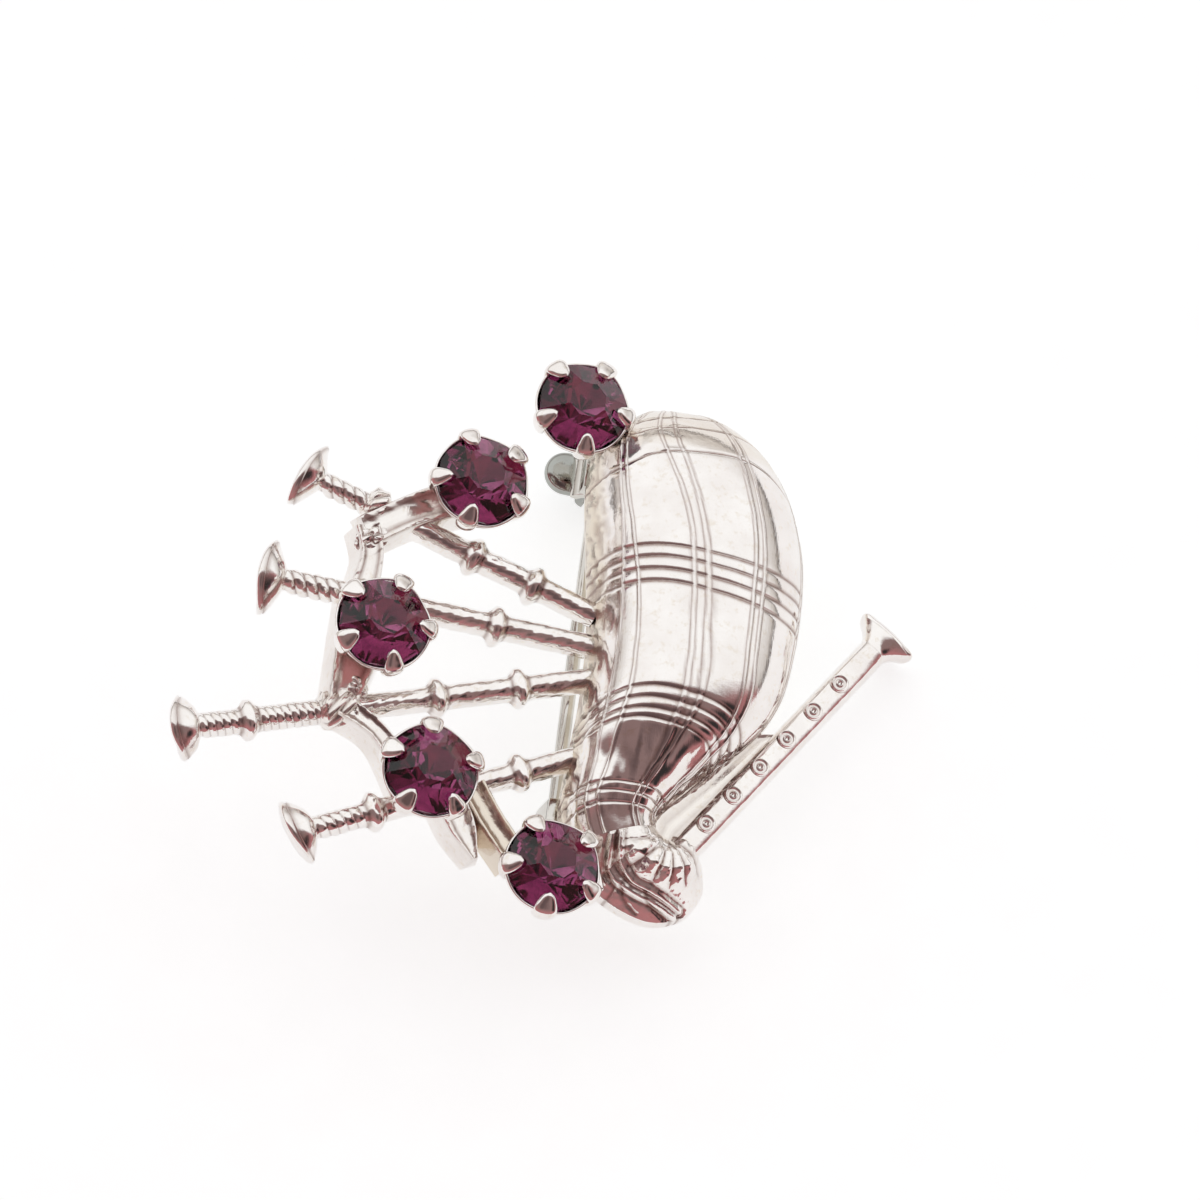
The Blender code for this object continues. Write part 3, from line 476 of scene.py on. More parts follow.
def lengthwise(shape):
    """A shape built along +z, turned so that its z lies along -y and its y along z."""
    return shape[0][:, (0, 2, 1)] * np.array((1, -1, 1)), shape[1]


def dome(stations, u, v, lift=0.0, slope=0.0):
    """Points of a domed body at shares u over it and v along it, raised by lift along the normal.

    With a slope of 1 the left side falls away to a low rim, and with 0 it is as full as the right side."""
    rows = curve([left + right + (height,) for left, right, height in stations], v)
    left, right, height = rows[..., 0:2], rows[..., 2:4], rows[..., 4]
    angle = pi * (1 - u)
    lean = np.where(u < 0.5, slope, 0.0)
    power = DOME_POWER + (CUFF_POWER - DOME_POWER) * lean
    side = np.sign(np.cos(angle)) * np.abs(np.cos(angle)) ** (2 / power)
    rim = CUFF_RIM * lean * ease(0.0, 0.03, u)
    up = rim + (height - rim) * np.abs(np.sin(angle)) ** (2 / power)
    plan = (left + right) / 2 + side[..., None] * (right - left) / 2
    points = np.concatenate((plan, up[..., None]), -1)
    normal = np.cross(np.gradient(points, axis=1), np.gradient(points, axis=0))
    normal /= np.maximum(np.linalg.norm(normal, axis=-1, keepdims=True), 1e-9)
    normal *= np.sign(np.sum(normal[..., 2])) or 1
    points += normal * np.asarray(lift)[..., None]
    points[..., 2] = np.maximum(points[..., 2], 0)
    return points


def crowd(places, offsets, gap, least):
    """Sorted shares from 0 to 1 that crowd round some places and fill the rest evenly."""
    made = np.add.outer(places, offsets).ravel()
    kept = [0.0]
    for value in sorted(made[(made > 0) & (made < 1)]) + [1.0]:
        if value - kept[-1] >= least:
            fill = ceil((value - kept[-1]) / gap)
            kept += np.linspace(kept[-1], value, fill + 1)[1:].tolist()
    kept[-1] = 1.0
    return np.array(kept)


def middles(lines):
    """Share at the middle of each line."""
    return [float(curve(line, 0.5)) for line in lines]


def follow(lines, share, other):
    """Where a nominal share falls once the lines beside it bend with the other share."""
    nominal = np.array([0.0] + middles(lines) + [1.0])
    k = np.clip(np.searchsorted(nominal, share, side="right") - 1, 0, len(nominal) - 2)
    f = (share - nominal[k]) / (nominal[k + 1] - nominal[k])
    bent = np.stack([np.zeros_like(other)] + [curve(line, other) for line in lines] + [np.ones_like(other)])
    low, high = (np.take_along_axis(bent, k[None] + n, 0)[0] for n in (0, 1))
    return low * (1 - f) + high * f


def rough(points, zone, scale, *levels):
    """Rough noise at the points of a zone, scaled along each axis, and 0 outside the zone."""
    made = np.zeros_like(zone)
    for index in zip(*np.nonzero(zone > 0.01)):
        made[index] = noise.fractal(Vector(points[index] * np.array(scale)), *levels)
    return made


def bag():
    """Bag with its tartan check in relief and a rough wall on the pipes' side."""
    wide = np.array((-0.30, -0.18, -0.115, -0.07, -0.035, 0.0, 0.035, 0.07, 0.115, 0.18, 0.30))
    columns = crowd(middles(RIDGES), wide / 17, 0.018, 0.0025)
    rows = crowd(middles(GROOVES), wide / BAG_LENGTH, 0.012, 0.0014)
    s, t = np.meshgrid(columns, rows)
    u, v = s.copy(), t.copy()
    for _ in range(8):
        u = follow(RIDGES, s, v)
        v = follow(GROOVES, t, u)
    flat = dome(BAG_STATIONS, u, v)
    girth = np.linalg.norm(np.diff(flat, axis=1), axis=-1).sum(1)[:, None]
    sway = [0.05 * wobble(v * 16, v * 5, 1.0 + k) for k in range(len(RIDGES))]
    beside = [(u - curve(line, v)) * girth + turn for line, turn in zip(RIDGES, sway)]
    along = [(v - curve(line, u)) * BAG_LENGTH for line in GROOVES]
    ridge = sum(bump(d, LINE_WIDTH) for d in beside)
    flank = sum(bump(np.abs(d) - 0.14, 0.05) for d in beside)
    groove = np.maximum.reduce([bump(d, LINE_WIDTH) for d in along])
    bar = np.maximum.reduce([bump(np.abs(d) - 0.24, 0.15) for d in along])
    bulge = band(v, 0.50, 0.69, 0.715, 0.80) * band(u, 0.10, 0.30, 0.80, 0.95)
    open_groove = groove * (1 - 0.85 * np.clip(ridge, 0, 1))
    wall = ease(0.20, 0.07, u) * ease(0.16, 0.26, v)
    crumple = band(v, 0.03, 0.10, 0.27, 0.36) * ease(0.62, 0.42, u)
    streaked = band(v, 0.71, 0.76, 0.90, 0.97)
    crust = rough(flat, wall, (1.9, 1.3, 3.0), 0.9, 2.2, 4)
    whole = np.ones_like(u)
    beaten = rough(flat, whole, (0.55, 0.55, 0.8), 1.0, 2.0, 1) + 0.4 * rough(flat, whole, 1.5, 1.0, 2.0, 1)
    beaten += 8 * streaked * rough(flat, streaked, (1.5, 0.3, 1.2), 0.8, 2.2, 2)
    beaten += 7 * crumple * rough(flat, crumple, (0.45, 2.1, 1.3), 1.0, 2.0, 3)
    lift = RIDGE_HEIGHT * ridge - GROOVE_DEPTH * open_groove + 0.009 * bar * (1 - groove)
    lift += BULGE_HEIGHT * bulge + wall * WALL_RELIEF * crust + BEATEN_RELIEF * beaten * ease(0.06, 0.2, v)
    points = dome(BAG_STATIONS, u, v, lift * band(u, 0, 0.02, 0.98, 1))
    stain = open_groove ** 1.4 + 0.75 * flank * (1 - groove) + 0.6 * wall * ease(0.1, -0.3, crust)
    worn = 0.6 * ease(0.70, 0.90, u) * ease(0.62, 0.42, v) + 0.6 * ease(0.30, 0.24, v)
    return (points, dome_faces(*u.shape)), np.clip(stain, 0, 1), np.clip(np.maximum(wall, worn), 0, 1)


def stroke(line, points):
    """Distance in plan of every point from a smooth line."""
    dots = curve(line, np.linspace(0, 1, 240))
    gaps = [np.hypot(points[..., 0] - x, points[..., 1] - y) for x, y in dots]
    return np.minimum.reduce(gaps)


def cuff():
    """Gathered end of the bag: a low rim, a corded hem, creases and a knot of gathers at the chanter."""
    rows, columns = 190, 130
    u, v = np.meshgrid(np.linspace(0, 1, columns), np.linspace(0, 1, rows))
    slope = np.clip(v / CUFF_TURN, 0, 1)
    flat = dome(CUFF_STATIONS, u, v, slope=slope)
    hems = [stroke(line, flat) for line in HEM]
    hem = np.clip(sum(bump(gap, HEM_WIDTH) for gap in hems), 0, 1)
    beside = sum(bump(gap - 0.27, 0.09) for gap in hems) * (1 - hem)
    crease = np.maximum.reduce([bump(stroke(line, flat), 0.10) for line in CREASES])
    x, y = flat[..., 0] - GATHER[0], flat[..., 1] - GATHER[1]
    reach, turn = np.hypot(x, y), np.arctan2(-y, -x)
    ribbed = band(reach, 1.0, 1.6, 2.7, 3.6) * ease(0.35, 0.7, turn) * ease(0.97, 0.80, u)
    fold = np.abs(np.sin(7.6 * turn + 0.8 * np.sin(3.3 * turn) + 0.7 * reach))
    uneven = rough(flat, np.ones_like(u), 1.3, 1.0, 2.1, 3)
    lift = HEM_HEIGHT * hem - 0.07 * beside - 0.06 * crease
    lift += ribbed * (FOLD_HEIGHT + 0.1 * uneven) * (fold ** 0.8 - 0.3) + 0.05 * uneven
    edge = band(u, 0, 0.05, 0.97, 1) * ease(0, 0.03, v)
    points = dome(CUFF_STATIONS, u, v, lift * edge, slope)
    pocket = ease(0.22, 0.05, v) * ease(0.42, 0.2, u)
    stain = ribbed * (1 - fold) ** 3 + 0.7 * beside + 0.8 * crease + 0.7 * pocket
    return (points, dome_faces(*u.shape)), np.clip(stain, 0, 1), 0.3 + 0.5 * pocket


def back_plate():
    """Flat plate that closes the bag's back, with an uneven cast face and a rolled edge."""
    rows, columns = 90, 26
    v = np.linspace(0, 1, rows)
    rim = curve([left + right for left, right, _ in BAG_STATIONS], v)
    left, right = rim[:, 0:2], rim[:, 2:4]
    pull = PLATE_INSET / np.linalg.norm(right - left, axis=1)[:, None]
    left, right = left + (right - left) * pull, right - (right - left) * pull
    share = (1 - np.cos(np.linspace(0, pi, columns))) / 2
    plan = left[:, None] + (right - left)[:, None] * share[None, :, None]
    roll = band(share, 0, 0.035, 0.965, 1) * band(v, 0, 0.02, 0.98, 1)[:, None]
    u, w = np.meshgrid(share, v)
    low = PLATE_TOP - PLATE_THICKNESS + 0.12 * (1 - roll) + 0.012 * wobble(u * 21, w * 40, 4.0) * roll
    top = np.full(low.shape, PLATE_TOP)
    both = [np.concatenate((plan, z[..., None]), -1) for z in (top, low)]
    return (np.concatenate(both), shell_faces(rows, columns)), 0, np.repeat((0.0, 0.8), low.size)


def bell(start, neck, rim, radius, power):
    """Distances and radii of a bell with a beaded lip and a domed face; a power below 1 bulges."""
    flare = rim - BELL_LIP
    shares = 1 - np.cos(np.linspace(0, pi / 2, 20))
    body = [(start + flare * f, neck + (radius * 0.955 - neck) * f ** power) for f in shares]
    body += [(start + flare + BELL_LIP * along, radius * share) for along, share in BELL_BEAD]
    body += [(start + rim + BELL_DOME * (1 - f * f), radius * f) for f in np.linspace(0.86, 0.06, 9)]
    return np.array(body)


def flat_backed(radius, angle, share):
    """Radii of a cast section that is round in front and square at its back."""
    square = (np.abs(np.cos(angle)) ** 6 + np.abs(np.sin(angle)) ** 6) ** (-1 / 6)
    return radius * np.where(np.sin(angle) < 0, 1 + share * (square - 1), 1.0)


def pipe(spec, seed):
    """Drone or blowpipe: stem with rounded collars, a threaded outer part and a bell."""
    root, end, collars, rope_start, pitch, depth, wide, power, turn, droop, thin = spec
    way = np.subtract(end, root)
    length = hypot(*way)
    bell_start = length - BELL_LENGTH
    angle = turns(PIPE_SIDES)
    d = np.arange(-0.5, bell_start, 0.05)[:, None]
    slim = 1 - thin * ease(rope_start - 1.0, rope_start, d)
    radius = PIPE_RADIUS * slim * (1 + 0.04 * wobble(d * 1.4, angle * 2, seed)) + 0 * angle
    stain = np.zeros_like(radius)
    thread = np.abs(np.cos(pi * d / pitch - angle + seed))
    roped = band(d, rope_start - 0.25, rope_start + 0.1, bell_start - 0.3, bell_start + 0.05)
    for place in collars:
        ring = bump(d - place, COLLAR_HALF, 2.8)
        radius += COLLAR_RISE * ring * (0.80 + 0.28 * np.cos(2 * angle) + 0.08 * np.cos(3 * angle + seed))
        stain += 0.7 * bump(np.abs(d - place) - 0.52, 0.11)
        roped = roped * (1 - bump(d - place, 0.62, 4))
    radius += roped * depth * (thread ** 0.55 - 0.65)
    stain += roped * (1 - thread) ** 3 * min(1, depth / 0.1)
    square = ease(bell_start, bell_start - 0.8, d)
    radius = flat_backed(radius, angle, square)
    tail = bell(bell_start, PIPE_RADIUS * (1 - thin), BELL_LENGTH - BELL_DOME, wide, power)
    bell_d = tail[:, :1]
    flare = tail[:, 1:] * (1 + 0.015 * np.sin(3 * angle + seed))
    flare += 0.022 * np.sin(7 * angle + seed) * np.sin(9 * bell_d + seed)
    seam = bump(bell_d - (length - BELL_DOME - BELL_LIP), 0.09)
    d = np.concatenate((d, bell_d))
    verts, faces = revolve(d, np.concatenate((radius, flare)), PIPE_SIDES)
    slope = np.repeat(np.clip((d - bell_start) / (BELL_LENGTH - BELL_DOME), 0, 1).ravel(), PIPE_SIDES)
    front = np.clip(np.tile(np.sin(angle), len(d)), 0, 1)
    lens = np.where(front > 0, BELL_FRONT * front ** 0.65, BELL_BACK)
    verts[:-2, 1] *= 1 - (1 - lens) * slope
    raised = verts[:-2, 1]
    bend = (raised + np.hypot(raised, BELL_BEND) - BELL_BEND) / 2
    verts[:-2, 2] += slope * (droop * bend + turn * verts[:-2, 0])
    shape = lay((verts, faces), root + (PIPE_LEVEL,), way)
    stain = np.concatenate((np.clip(stain, 0, 1), 0.6 * seam + 0 * flare))
    return shape, np.append(stain, (0, 0)), 0.25


def wrap(spec, seed):
    """Ribbon wound round a drone, in slanting turns."""
    name, first, last = spec
    root, end = PIPES[name][:2]
    sides = 72
    angle = turns(sides)
    d = np.linspace(first, last, 46)[:, None]
    taper = band(d, first, first + 0.35, last - 0.35, last)
    turn = np.abs(np.cos(4 * angle + pi * d / 0.86 + seed))
    radius = 0.74 + taper * (0.22 + 0.22 * turn ** 0.6) + 0.03 * wobble(d, angle * 2, seed)
    stain = taper * (1 - turn) ** 3
    shape = lay(revolve(d, radius, sides), root + (PIPE_LEVEL,), np.subtract(end, root))
    return shape, np.append(stain, (0, 0)), 0.4


def chanter():
    """Chanter tube with a flatter front, a bell, and a row of ringed finger holes."""
    bell_start = CHANTER_LENGTH - CHANTER_BELL_LENGTH
    angle = turns(PIPE_SIDES)
    d = np.linspace(-0.6, bell_start, 170)[:, None]
    flat = ease(bell_start + 0.1, bell_start - 1.6, d)
    front = np.clip(np.sin(angle), 0, 1)
    radius = CHANTER_RADIUS * (1 - 0.075 * flat * front ** 6 + 0.05 * flat * bump(front - 0.72, 0.16))
    radius = radius + 0.012 * wobble(d * 1.2, angle * 2, 3.0)
    radius = flat_backed(radius, angle, flat)
    tail = bell(bell_start, CHANTER_RADIUS, CHANTER_BELL_LENGTH, CHANTER_BELL, CHANTER_FLARE)
    d = np.concatenate((d, tail[:, :1]))
    verts, faces = revolve(d, np.concatenate((radius, tail[:, 1:] + 0 * angle)), PIPE_SIDES)
    flare = np.repeat(np.clip((d - bell_start) / CHANTER_BELL_LENGTH, 0, 1).ravel(), PIPE_SIDES)
    pressed = (1 - CHANTER_FRONT) * flare * np.tile(ease(0.0, 0.8, np.sin(angle)), len(d))
    verts[:-2, 1] *= 1 - pressed
    tube = lay((verts, faces), CHANTER_START + (CHANTER_LEVEL,), CHANTER_WAY)
    top = CHANTER_LEVEL + CHANTER_RADIUS * 0.985
    heights, radii, dark = zip(*HOLE_RINGS)
    boss = revolve(heights, radii, HOLE_SIDES)
    shapes, stain = [tube], [np.zeros(len(verts))]
    for k in range(HOLE_COUNT):
        place = CHANTER_START + CHANTER_SIDE * HOLE_SIDE + CHANTER_UNIT * (HOLE_FIRST + HOLE_PITCH * k)
        shapes.append(shift(boss, (*place, top)))
        stain.append(np.append(np.repeat(dark, HOLE_SIDES), (0, 1)))
    return join(*shapes), np.concatenate(stain), 0.15


def web():
    """Strip between the chanter and the bag, with a rolled upper face."""
    ways = [np.subtract(right, CHANTER_START) for _, right, _ in BAG_STATIONS]
    rim = sorted((float(way @ CHANTER_UNIT), float(way @ CHANTER_SIDE)) for way in ways)
    low, high = WEB_LEVELS
    lines = [(0.0, low)] + [(share, high - drop) for share, drop, _ in WEB_FACE] + [(1.0, low)]
    dark = [0] + [stain for _, _, stain in WEB_FACE] + [0]
    share, z = np.array(lines).T
    d = np.linspace(*WEB_SPAN, 90)[:, None]
    far = np.interp(d, *zip(*rim)) + 0.3 - WEB_REACH
    offset = WEB_REACH + far * ease(WEB_SPAN[1] + 0.4, WEB_SPAN[1] - 1.6, d) * share
    plan = CHANTER_START + CHANTER_UNIT * d[..., None] + CHANTER_SIDE * offset[..., None]
    height = z + 0.03 * np.sin(1.3 * d) * (z > low)
    points = np.concatenate((plan, height[..., None]), -1)
    return (points, tube_faces(len(d), len(lines))), np.tile(dark, len(d)), 0.5


def ribbon(points, seed, sink):
    """Ribbon with bevelled sides, raised edges and a sunk, slightly uneven face."""
    rows = 64
    t = np.linspace(0, 1, rows)
    line = curve(points, t)
    way = unit(np.gradient(line[:, :2], axis=0))
    side = np.stack((-way[:, 1], way[:, 0]), -1)
    top, foot = RIBBON_TOP, RIBBON_FOOT
    half = line[:, 2] / 2
    inner = half - RIBBON_BEVEL
    right = [(half, foot), (half - 0.03, foot + 0.2), (inner + 0.07, top - 0.28), (inner + 0.02, top - 0.06)]
    right += [(inner * 0.94, top + 0.03), (inner * 0.80, top + 0.03), (inner * 0.62, top - 0.55 * sink)]
    right += [(inner * 0.32, top - 0.9 * sink)]
    outline = right + [(0 * half, top - sink)] + [(-x, z) for x, z in reversed(right)]
    m = len(outline)
    points = np.zeros((rows, m, 3))
    for k, (offset, z) in enumerate(outline):
        points[:, k, :2] = line[:, :2] + side * offset[:, None]
        uneven = 0.05 * wobble(t * 9, offset * 2.2, seed) if 3 <= k <= m - 4 else 0
        points[:, k, 2] = z + uneven
    dark = RIBBON_STAIN + (0,) + RIBBON_STAIN[::-1]
    return (points, tube_faces(rows, m)), np.tile(dark, rows), min(0.1 + 2.3 * sink, 1)


def knot(place, size, turn, seed):
    """Creased lump of metal where ribbons meet."""
    rows, sides = 40, 72
    b = np.linspace(-0.49, 0.49, rows)[:, None] * pi
    a = turns(sides)[None]
    crease = np.abs(np.sin(2.5 * b + 1.5 * a + seed)) * np.abs(np.cos(1.5 * a - 2.0 * b + 2 * seed)) ** 0.5
    swell = 0.82 + 0.26 * crease + 0.05 * wobble(a * 2, b * 3, seed)
    x, y, z = np.cos(b) * np.cos(a), np.cos(b) * np.sin(a), np.sin(b) + 0 * a
    verts = np.stack((x, y, z), -1) * swell[..., None] * np.array(size) @ spin(turn) + np.array(place)
    stain = np.clip(1.2 * (1 - crease) ** 4, 0, 1)
    return (verts, tube_faces(rows, sides)), stain, 0.3


def lug(spec):
    """Flat tab from under a setting to the wall of the bag."""
    inner, outer, width, top = spec
    way = np.subtract(outer, inner)
    side = unit(np.array((-way[1], way[0]))) * width / 2
    corners = (inner - side, outer - side, outer + side, inner + side)
    return prism(corners, top - LUG_THICKNESS, top, bevel=0.16, segments=3)


def stone():
    """Round-cut stone about its girdle; the faces of its back come last, for the foil."""
    mains = 45.0 * np.arange(8)
    girdle = np.stack((mains + MAIN_FACET / 2, mains + 45 - MAIN_FACET / 2), -1).ravel()
    rings = (
        (mains + 22.5, STONE_RADIUS * TABLE_SHARE, STONE_RIM + STONE_CROWN),
        (girdle, STONE_RADIUS, STONE_RIM),
        (girdle, STONE_RADIUS, -STONE_RIM),
        ([0.0], 0.0, -STONE_RIM - STONE_PAVILION),
    )
    verts = [(r * cos(a), r * sin(a), z) for angles, r, z in rings for a in np.radians(angles)]
    table, upper, lower, point = range(8), range(8, 24), range(24, 40), 40
    faces = [tuple(table)]
    for k in range(8):
        faces.append((table[k], upper[2 * k], upper[2 * k + 1]))
        faces.append((table[k], upper[2 * k + 1], upper[(2 * k + 2) % 16], table[(k + 1) % 8]))
    faces += [(upper[k], upper[(k + 1) % 16], lower[(k + 1) % 16], lower[k]) for k in range(16)]
    back = [(lower[k], lower[(k + 1) % 16], point) for k in range(16)]
    return (np.array(verts), faces + back), [0] * len(faces) + [1] * len(back)


def cup(turn):
    """Pressed cup of a setting, scalloped between its claws."""
    sides = 120
    dip = 0.5 - 0.5 * np.cos(CLAWS * (turns(sides) - radians(turn)))
    radius = [r - 0.05 * low * dip for r, _, low in CUP_SECTION]
    height = [z - 0.24 * low * dip for _, z, low in CUP_SECTION]
    return ring_points(radius, height, sides), loop_faces(len(CUP_SECTION), sides)


def claw(degrees, seed):
    """Rounded tongue that rises from the cup and is bent over the crown."""
    slope = np.array((-(1 - TABLE_SHARE) * STONE_RADIUS, STONE_CROWN))
    rise = unit(np.array((slope[1], -slope[0])))
    edge = np.array((STONE_RADIUS, STONE_RIM))
    tip = edge + slope * CLAW_REACH + rise * 0.16
    middle = edge + slope * CLAW_REACH * 0.45 + rise * 0.26
    path = np.array(((2.58, -1.05), (2.79, -0.55), (2.90, 0.0), (2.86, 0.36), middle, tip))
    rows, columns = 30, 13
    t = np.linspace(0, 1, rows)
    line = curve(path, t)
    tangent = unit(np.gradient(line, axis=0))
    normal = np.stack((tangent[:, 1], -tangent[:, 0]), -1)
    t = t[:, None]
    from_tip = (1 - t) * np.linalg.norm(np.diff(path, axis=0), axis=1).sum()
    round_end = np.sqrt(np.clip(1 - (1 - np.clip(from_tip / 0.85, 0, 1)) ** 2, 0, 1))
    width = CLAW_WIDTH / 2 * (0.86 + 0.24 * np.sin(pi * t) + 0.1 * seed)
    width = np.maximum(width * round_end, 0.02)
    share = np.sin(np.linspace(-1, 1, columns) * pi / 2)
    crown = np.sqrt(np.clip(1 - share ** 2, 0, 1)) * CLAW_THICKNESS * round_end ** 0.6
    crown = crown * (1 - 0.12 * bump(share, 0.4) * bump(from_tip - 0.7, 0.4))
    skins = []
    for depth in (0.75, -0.25):
        out = line[:, :1] + normal[:, :1] * crown * depth
        up = line[:, 1:] + normal[:, 1:] * crown * depth
        skins.append(np.stack((out, share * width, up), -1) @ spin(degrees))
    return np.concatenate(skins), shell_faces(rows, columns)


def setting(turn, number):
    """Cup with claws, each a little out of its even place."""
    claws = []
    for k in range(CLAWS):
        place = turn + 360 / CLAWS * k + CLAW_STRAY * sin(3.1 * k + number)
        claws.append(claw(place, sin(5 * k + number)))
    shape = join(cup(turn), *claws)
    radial = np.linalg.norm(shape[0][:, :2], axis=1)
    stain = 0.5 * bump(shape[0][:, 2] + 1.95, 0.15) * ease(1.5, 1.9, radial)
    return shape, stain, 0.1


def hinge_bracket():
    """Bracket with two round ears."""
    top = BACK_LEVEL - PIN_LEVEL
    room = KNUCKLE_WIDTH / 2 + RUN_GAP
    half = room + EAR_THICKNESS
    outline = arc(EAR_RADIUS, -180, 0, 36)
    outline += [(BRACKET_LENGTH / 2, top - 0.1), (-BRACKET_LENGTH / 2, top - 0.1)]
    ears = [across(prism(outline, side * room, side * half, 0.09, 3)) for side in (-1, 1)]
    return join(*ears, prism(oblong(half, BRACKET_LENGTH / 2), top - BRACKET_BASE, top))


def hinge_rivet():
    """Rivet with a domed head at each end."""
    half = KNUCKLE_WIDTH / 2 + RUN_GAP + EAR_THICKNESS + SEAM
    r = RIVET_HEAD_RADIUS
    head = [(half, RIVET_RADIUS), (half, r * 0.94), (half + 0.05, r), (half + 0.11, r * 0.93)]
    head += [(half + 0.16, r * 0.75), (half + RIVET_HEAD, r * 0.4)]
    profile = [(-x, y) for x, y in reversed(head)] + head
    return across(revolve(*zip(*profile), 32))


def pin_stem():
    """Pointed wire with a flattened round knuckle."""
    length = CATCH_PLACE - HINGE_PLACE + HOUSING_LENGTH / 2 + STEM_OVERRUN
    taper = length - 3 * STEM_OVERRUN
    keys = [(0.3, STEM_RADIUS), (length * 0.5, STEM_RADIUS), (taper, STEM_TIP_RADIUS)]
    keys += [(length - STEM_OVERRUN * 0.6, STEM_TIP_RADIUS * 0.6), (length, STEM_TIP_RADIUS * 0.12)]
    d = np.linspace(0.3, length, 120)
    radius = np.interp(d, *zip(*keys))
    radius *= 1 + 0.02 * wobble(d, d * 0, 5.0)
    wire = lay(revolve(d, radius, 28), (0, 0, 0), (0, 1))
    ring = [(KNUCKLE_RADIUS, -0.35), (KNUCKLE_RADIUS, 0.35), (KNUCKLE_RADIUS - 0.1, 0.45)]
    ring += [(RIVET_RADIUS + 0.06, 0.45), (RIVET_RADIUS + 0.06, -0.45), (KNUCKLE_RADIUS - 0.1, -0.45)]
    knuckle = ring_points(*zip(*ring), PIPE_SIDES), loop_faces(len(ring), PIPE_SIDES)
    return join(wire, across(knuckle))


def catch_housing():
    """Open C round the rotor on a solid foot."""
    bore = ROTOR_RADIUS + RUN_GAP
    outer = bore + HOUSING_WALL
    first, last = HOUSING_ARC
    half = HOUSING_LENGTH / 2
    clasp = lengthwise(prism(arc(outer, first, last, 48) + arc(bore, last, first, 48), -half, half, 0.09, 3))
    foot = prism(oblong(HOUSING_FOOT / 2, half), bore + HOUSING_WALL * 0.4, BACK_LEVEL - PIN_LEVEL)
    return join(clasp, foot)


def catch_rotor():
    """Slotted sleeve with a domed, rounded thumb tab, its slot at the back."""
    gap, bore_gap = np.degrees(np.arcsin(SLOT_WIDTH / 2 / np.array((ROTOR_RADIUS, ROTOR_BORE))))
    outline = arc(ROTOR_RADIUS, -90 + gap, 270 - gap, 60)
    outline += arc(ROTOR_BORE, 270 - bore_gap, -90 + bore_gap, 40)
    sleeve = lengthwise(prism(outline, -ROTOR_LENGTH / 2, ROTOR_LENGTH / 2, 0.07, 3))
    inner = -(ROTOR_RADIUS + ROTOR_BORE) / 2
    round_end = -TAB_LENGTH + TAB_WIDTH / 2
    straight = np.linspace(round_end, inner, 8)[1:]
    loop = arc(TAB_WIDTH / 2, 90, 270, 32, (round_end, 0.0)) + [(x, -TAB_WIDTH / 2) for x in straight]
    loop = np.array(loop + [(x, TAB_WIDTH / 2) for x in straight[::-1]])
    middle = np.array(((-TAB_LENGTH + inner) / 2, 0.0))
    rings = []
    for a in np.radians(np.linspace(-88, 88, 19)):
        plan = middle + (loop - middle) * max(cos(a) ** 0.55, 0.03)
        z = copysign(abs(sin(a)) ** 0.8, a) * TAB_THICKNESS / 2
        rings.append(np.column_stack((plan, np.full(len(plan), z))))
    tab = np.concatenate(rings), tube_faces(len(rings), len(loop))
    return join(sleeve, tab)


class Nodes:
    """Short way to write a material's nodes."""

    def __init__(self, tree):
        self.tree = tree

    def feed(self, node, *links):
        """Set inputs of a node, each to a value or to another node's output."""
        for socket, value in links:
            if isinstance(value, bpy.types.NodeSocket):
                self.tree.links.new(value, node.inputs[socket])
            else:
                node.inputs[socket].default_value = value

    def add(self, kind, *links, **values):
        node = self.tree.nodes.new(kind)
        for key, value in values.items():
            setattr(node, key, value)
        self.feed(node, *links)
        return node

    def noise(self, where, scale, detail=3.0, roughness=0.55):
        links = (("Vector", where), ("Scale", scale), ("Detail", detail), ("Roughness", roughness))
        return self.add("ShaderNodeTexNoise", *links).outputs["Fac"]

    def spread(self, value, low, high, first=0.0, last=1.0):
        return self.add("ShaderNodeMapRange", *enumerate((value, low, high, first, last))).outputs["Result"]

    def maths(self, operation, a, b):
        return self.add("ShaderNodeMath", (0, a), (1, b), operation=operation).outputs[0]

    def total(self, first, *weighted):
        for value, weight in weighted:
            first = self.maths("ADD", first, self.maths("MULTIPLY", value, weight))
        return first

    def mix(self, share, a, b):
        return self.add("ShaderNodeMix", (0, share), (6, a), (7, b), data_type="RGBA").outputs[2]


def start_material(name):
    """New material with its nodes, its shader and the coordinates of its object."""
    material = bpy.data.materials.new(name)
    material.use_nodes = True
    n = Nodes(material.node_tree)
    where = n.add("ShaderNodeTexCoord").outputs["Object"]
    return material, n, n.tree.nodes["Principled BSDF"], where


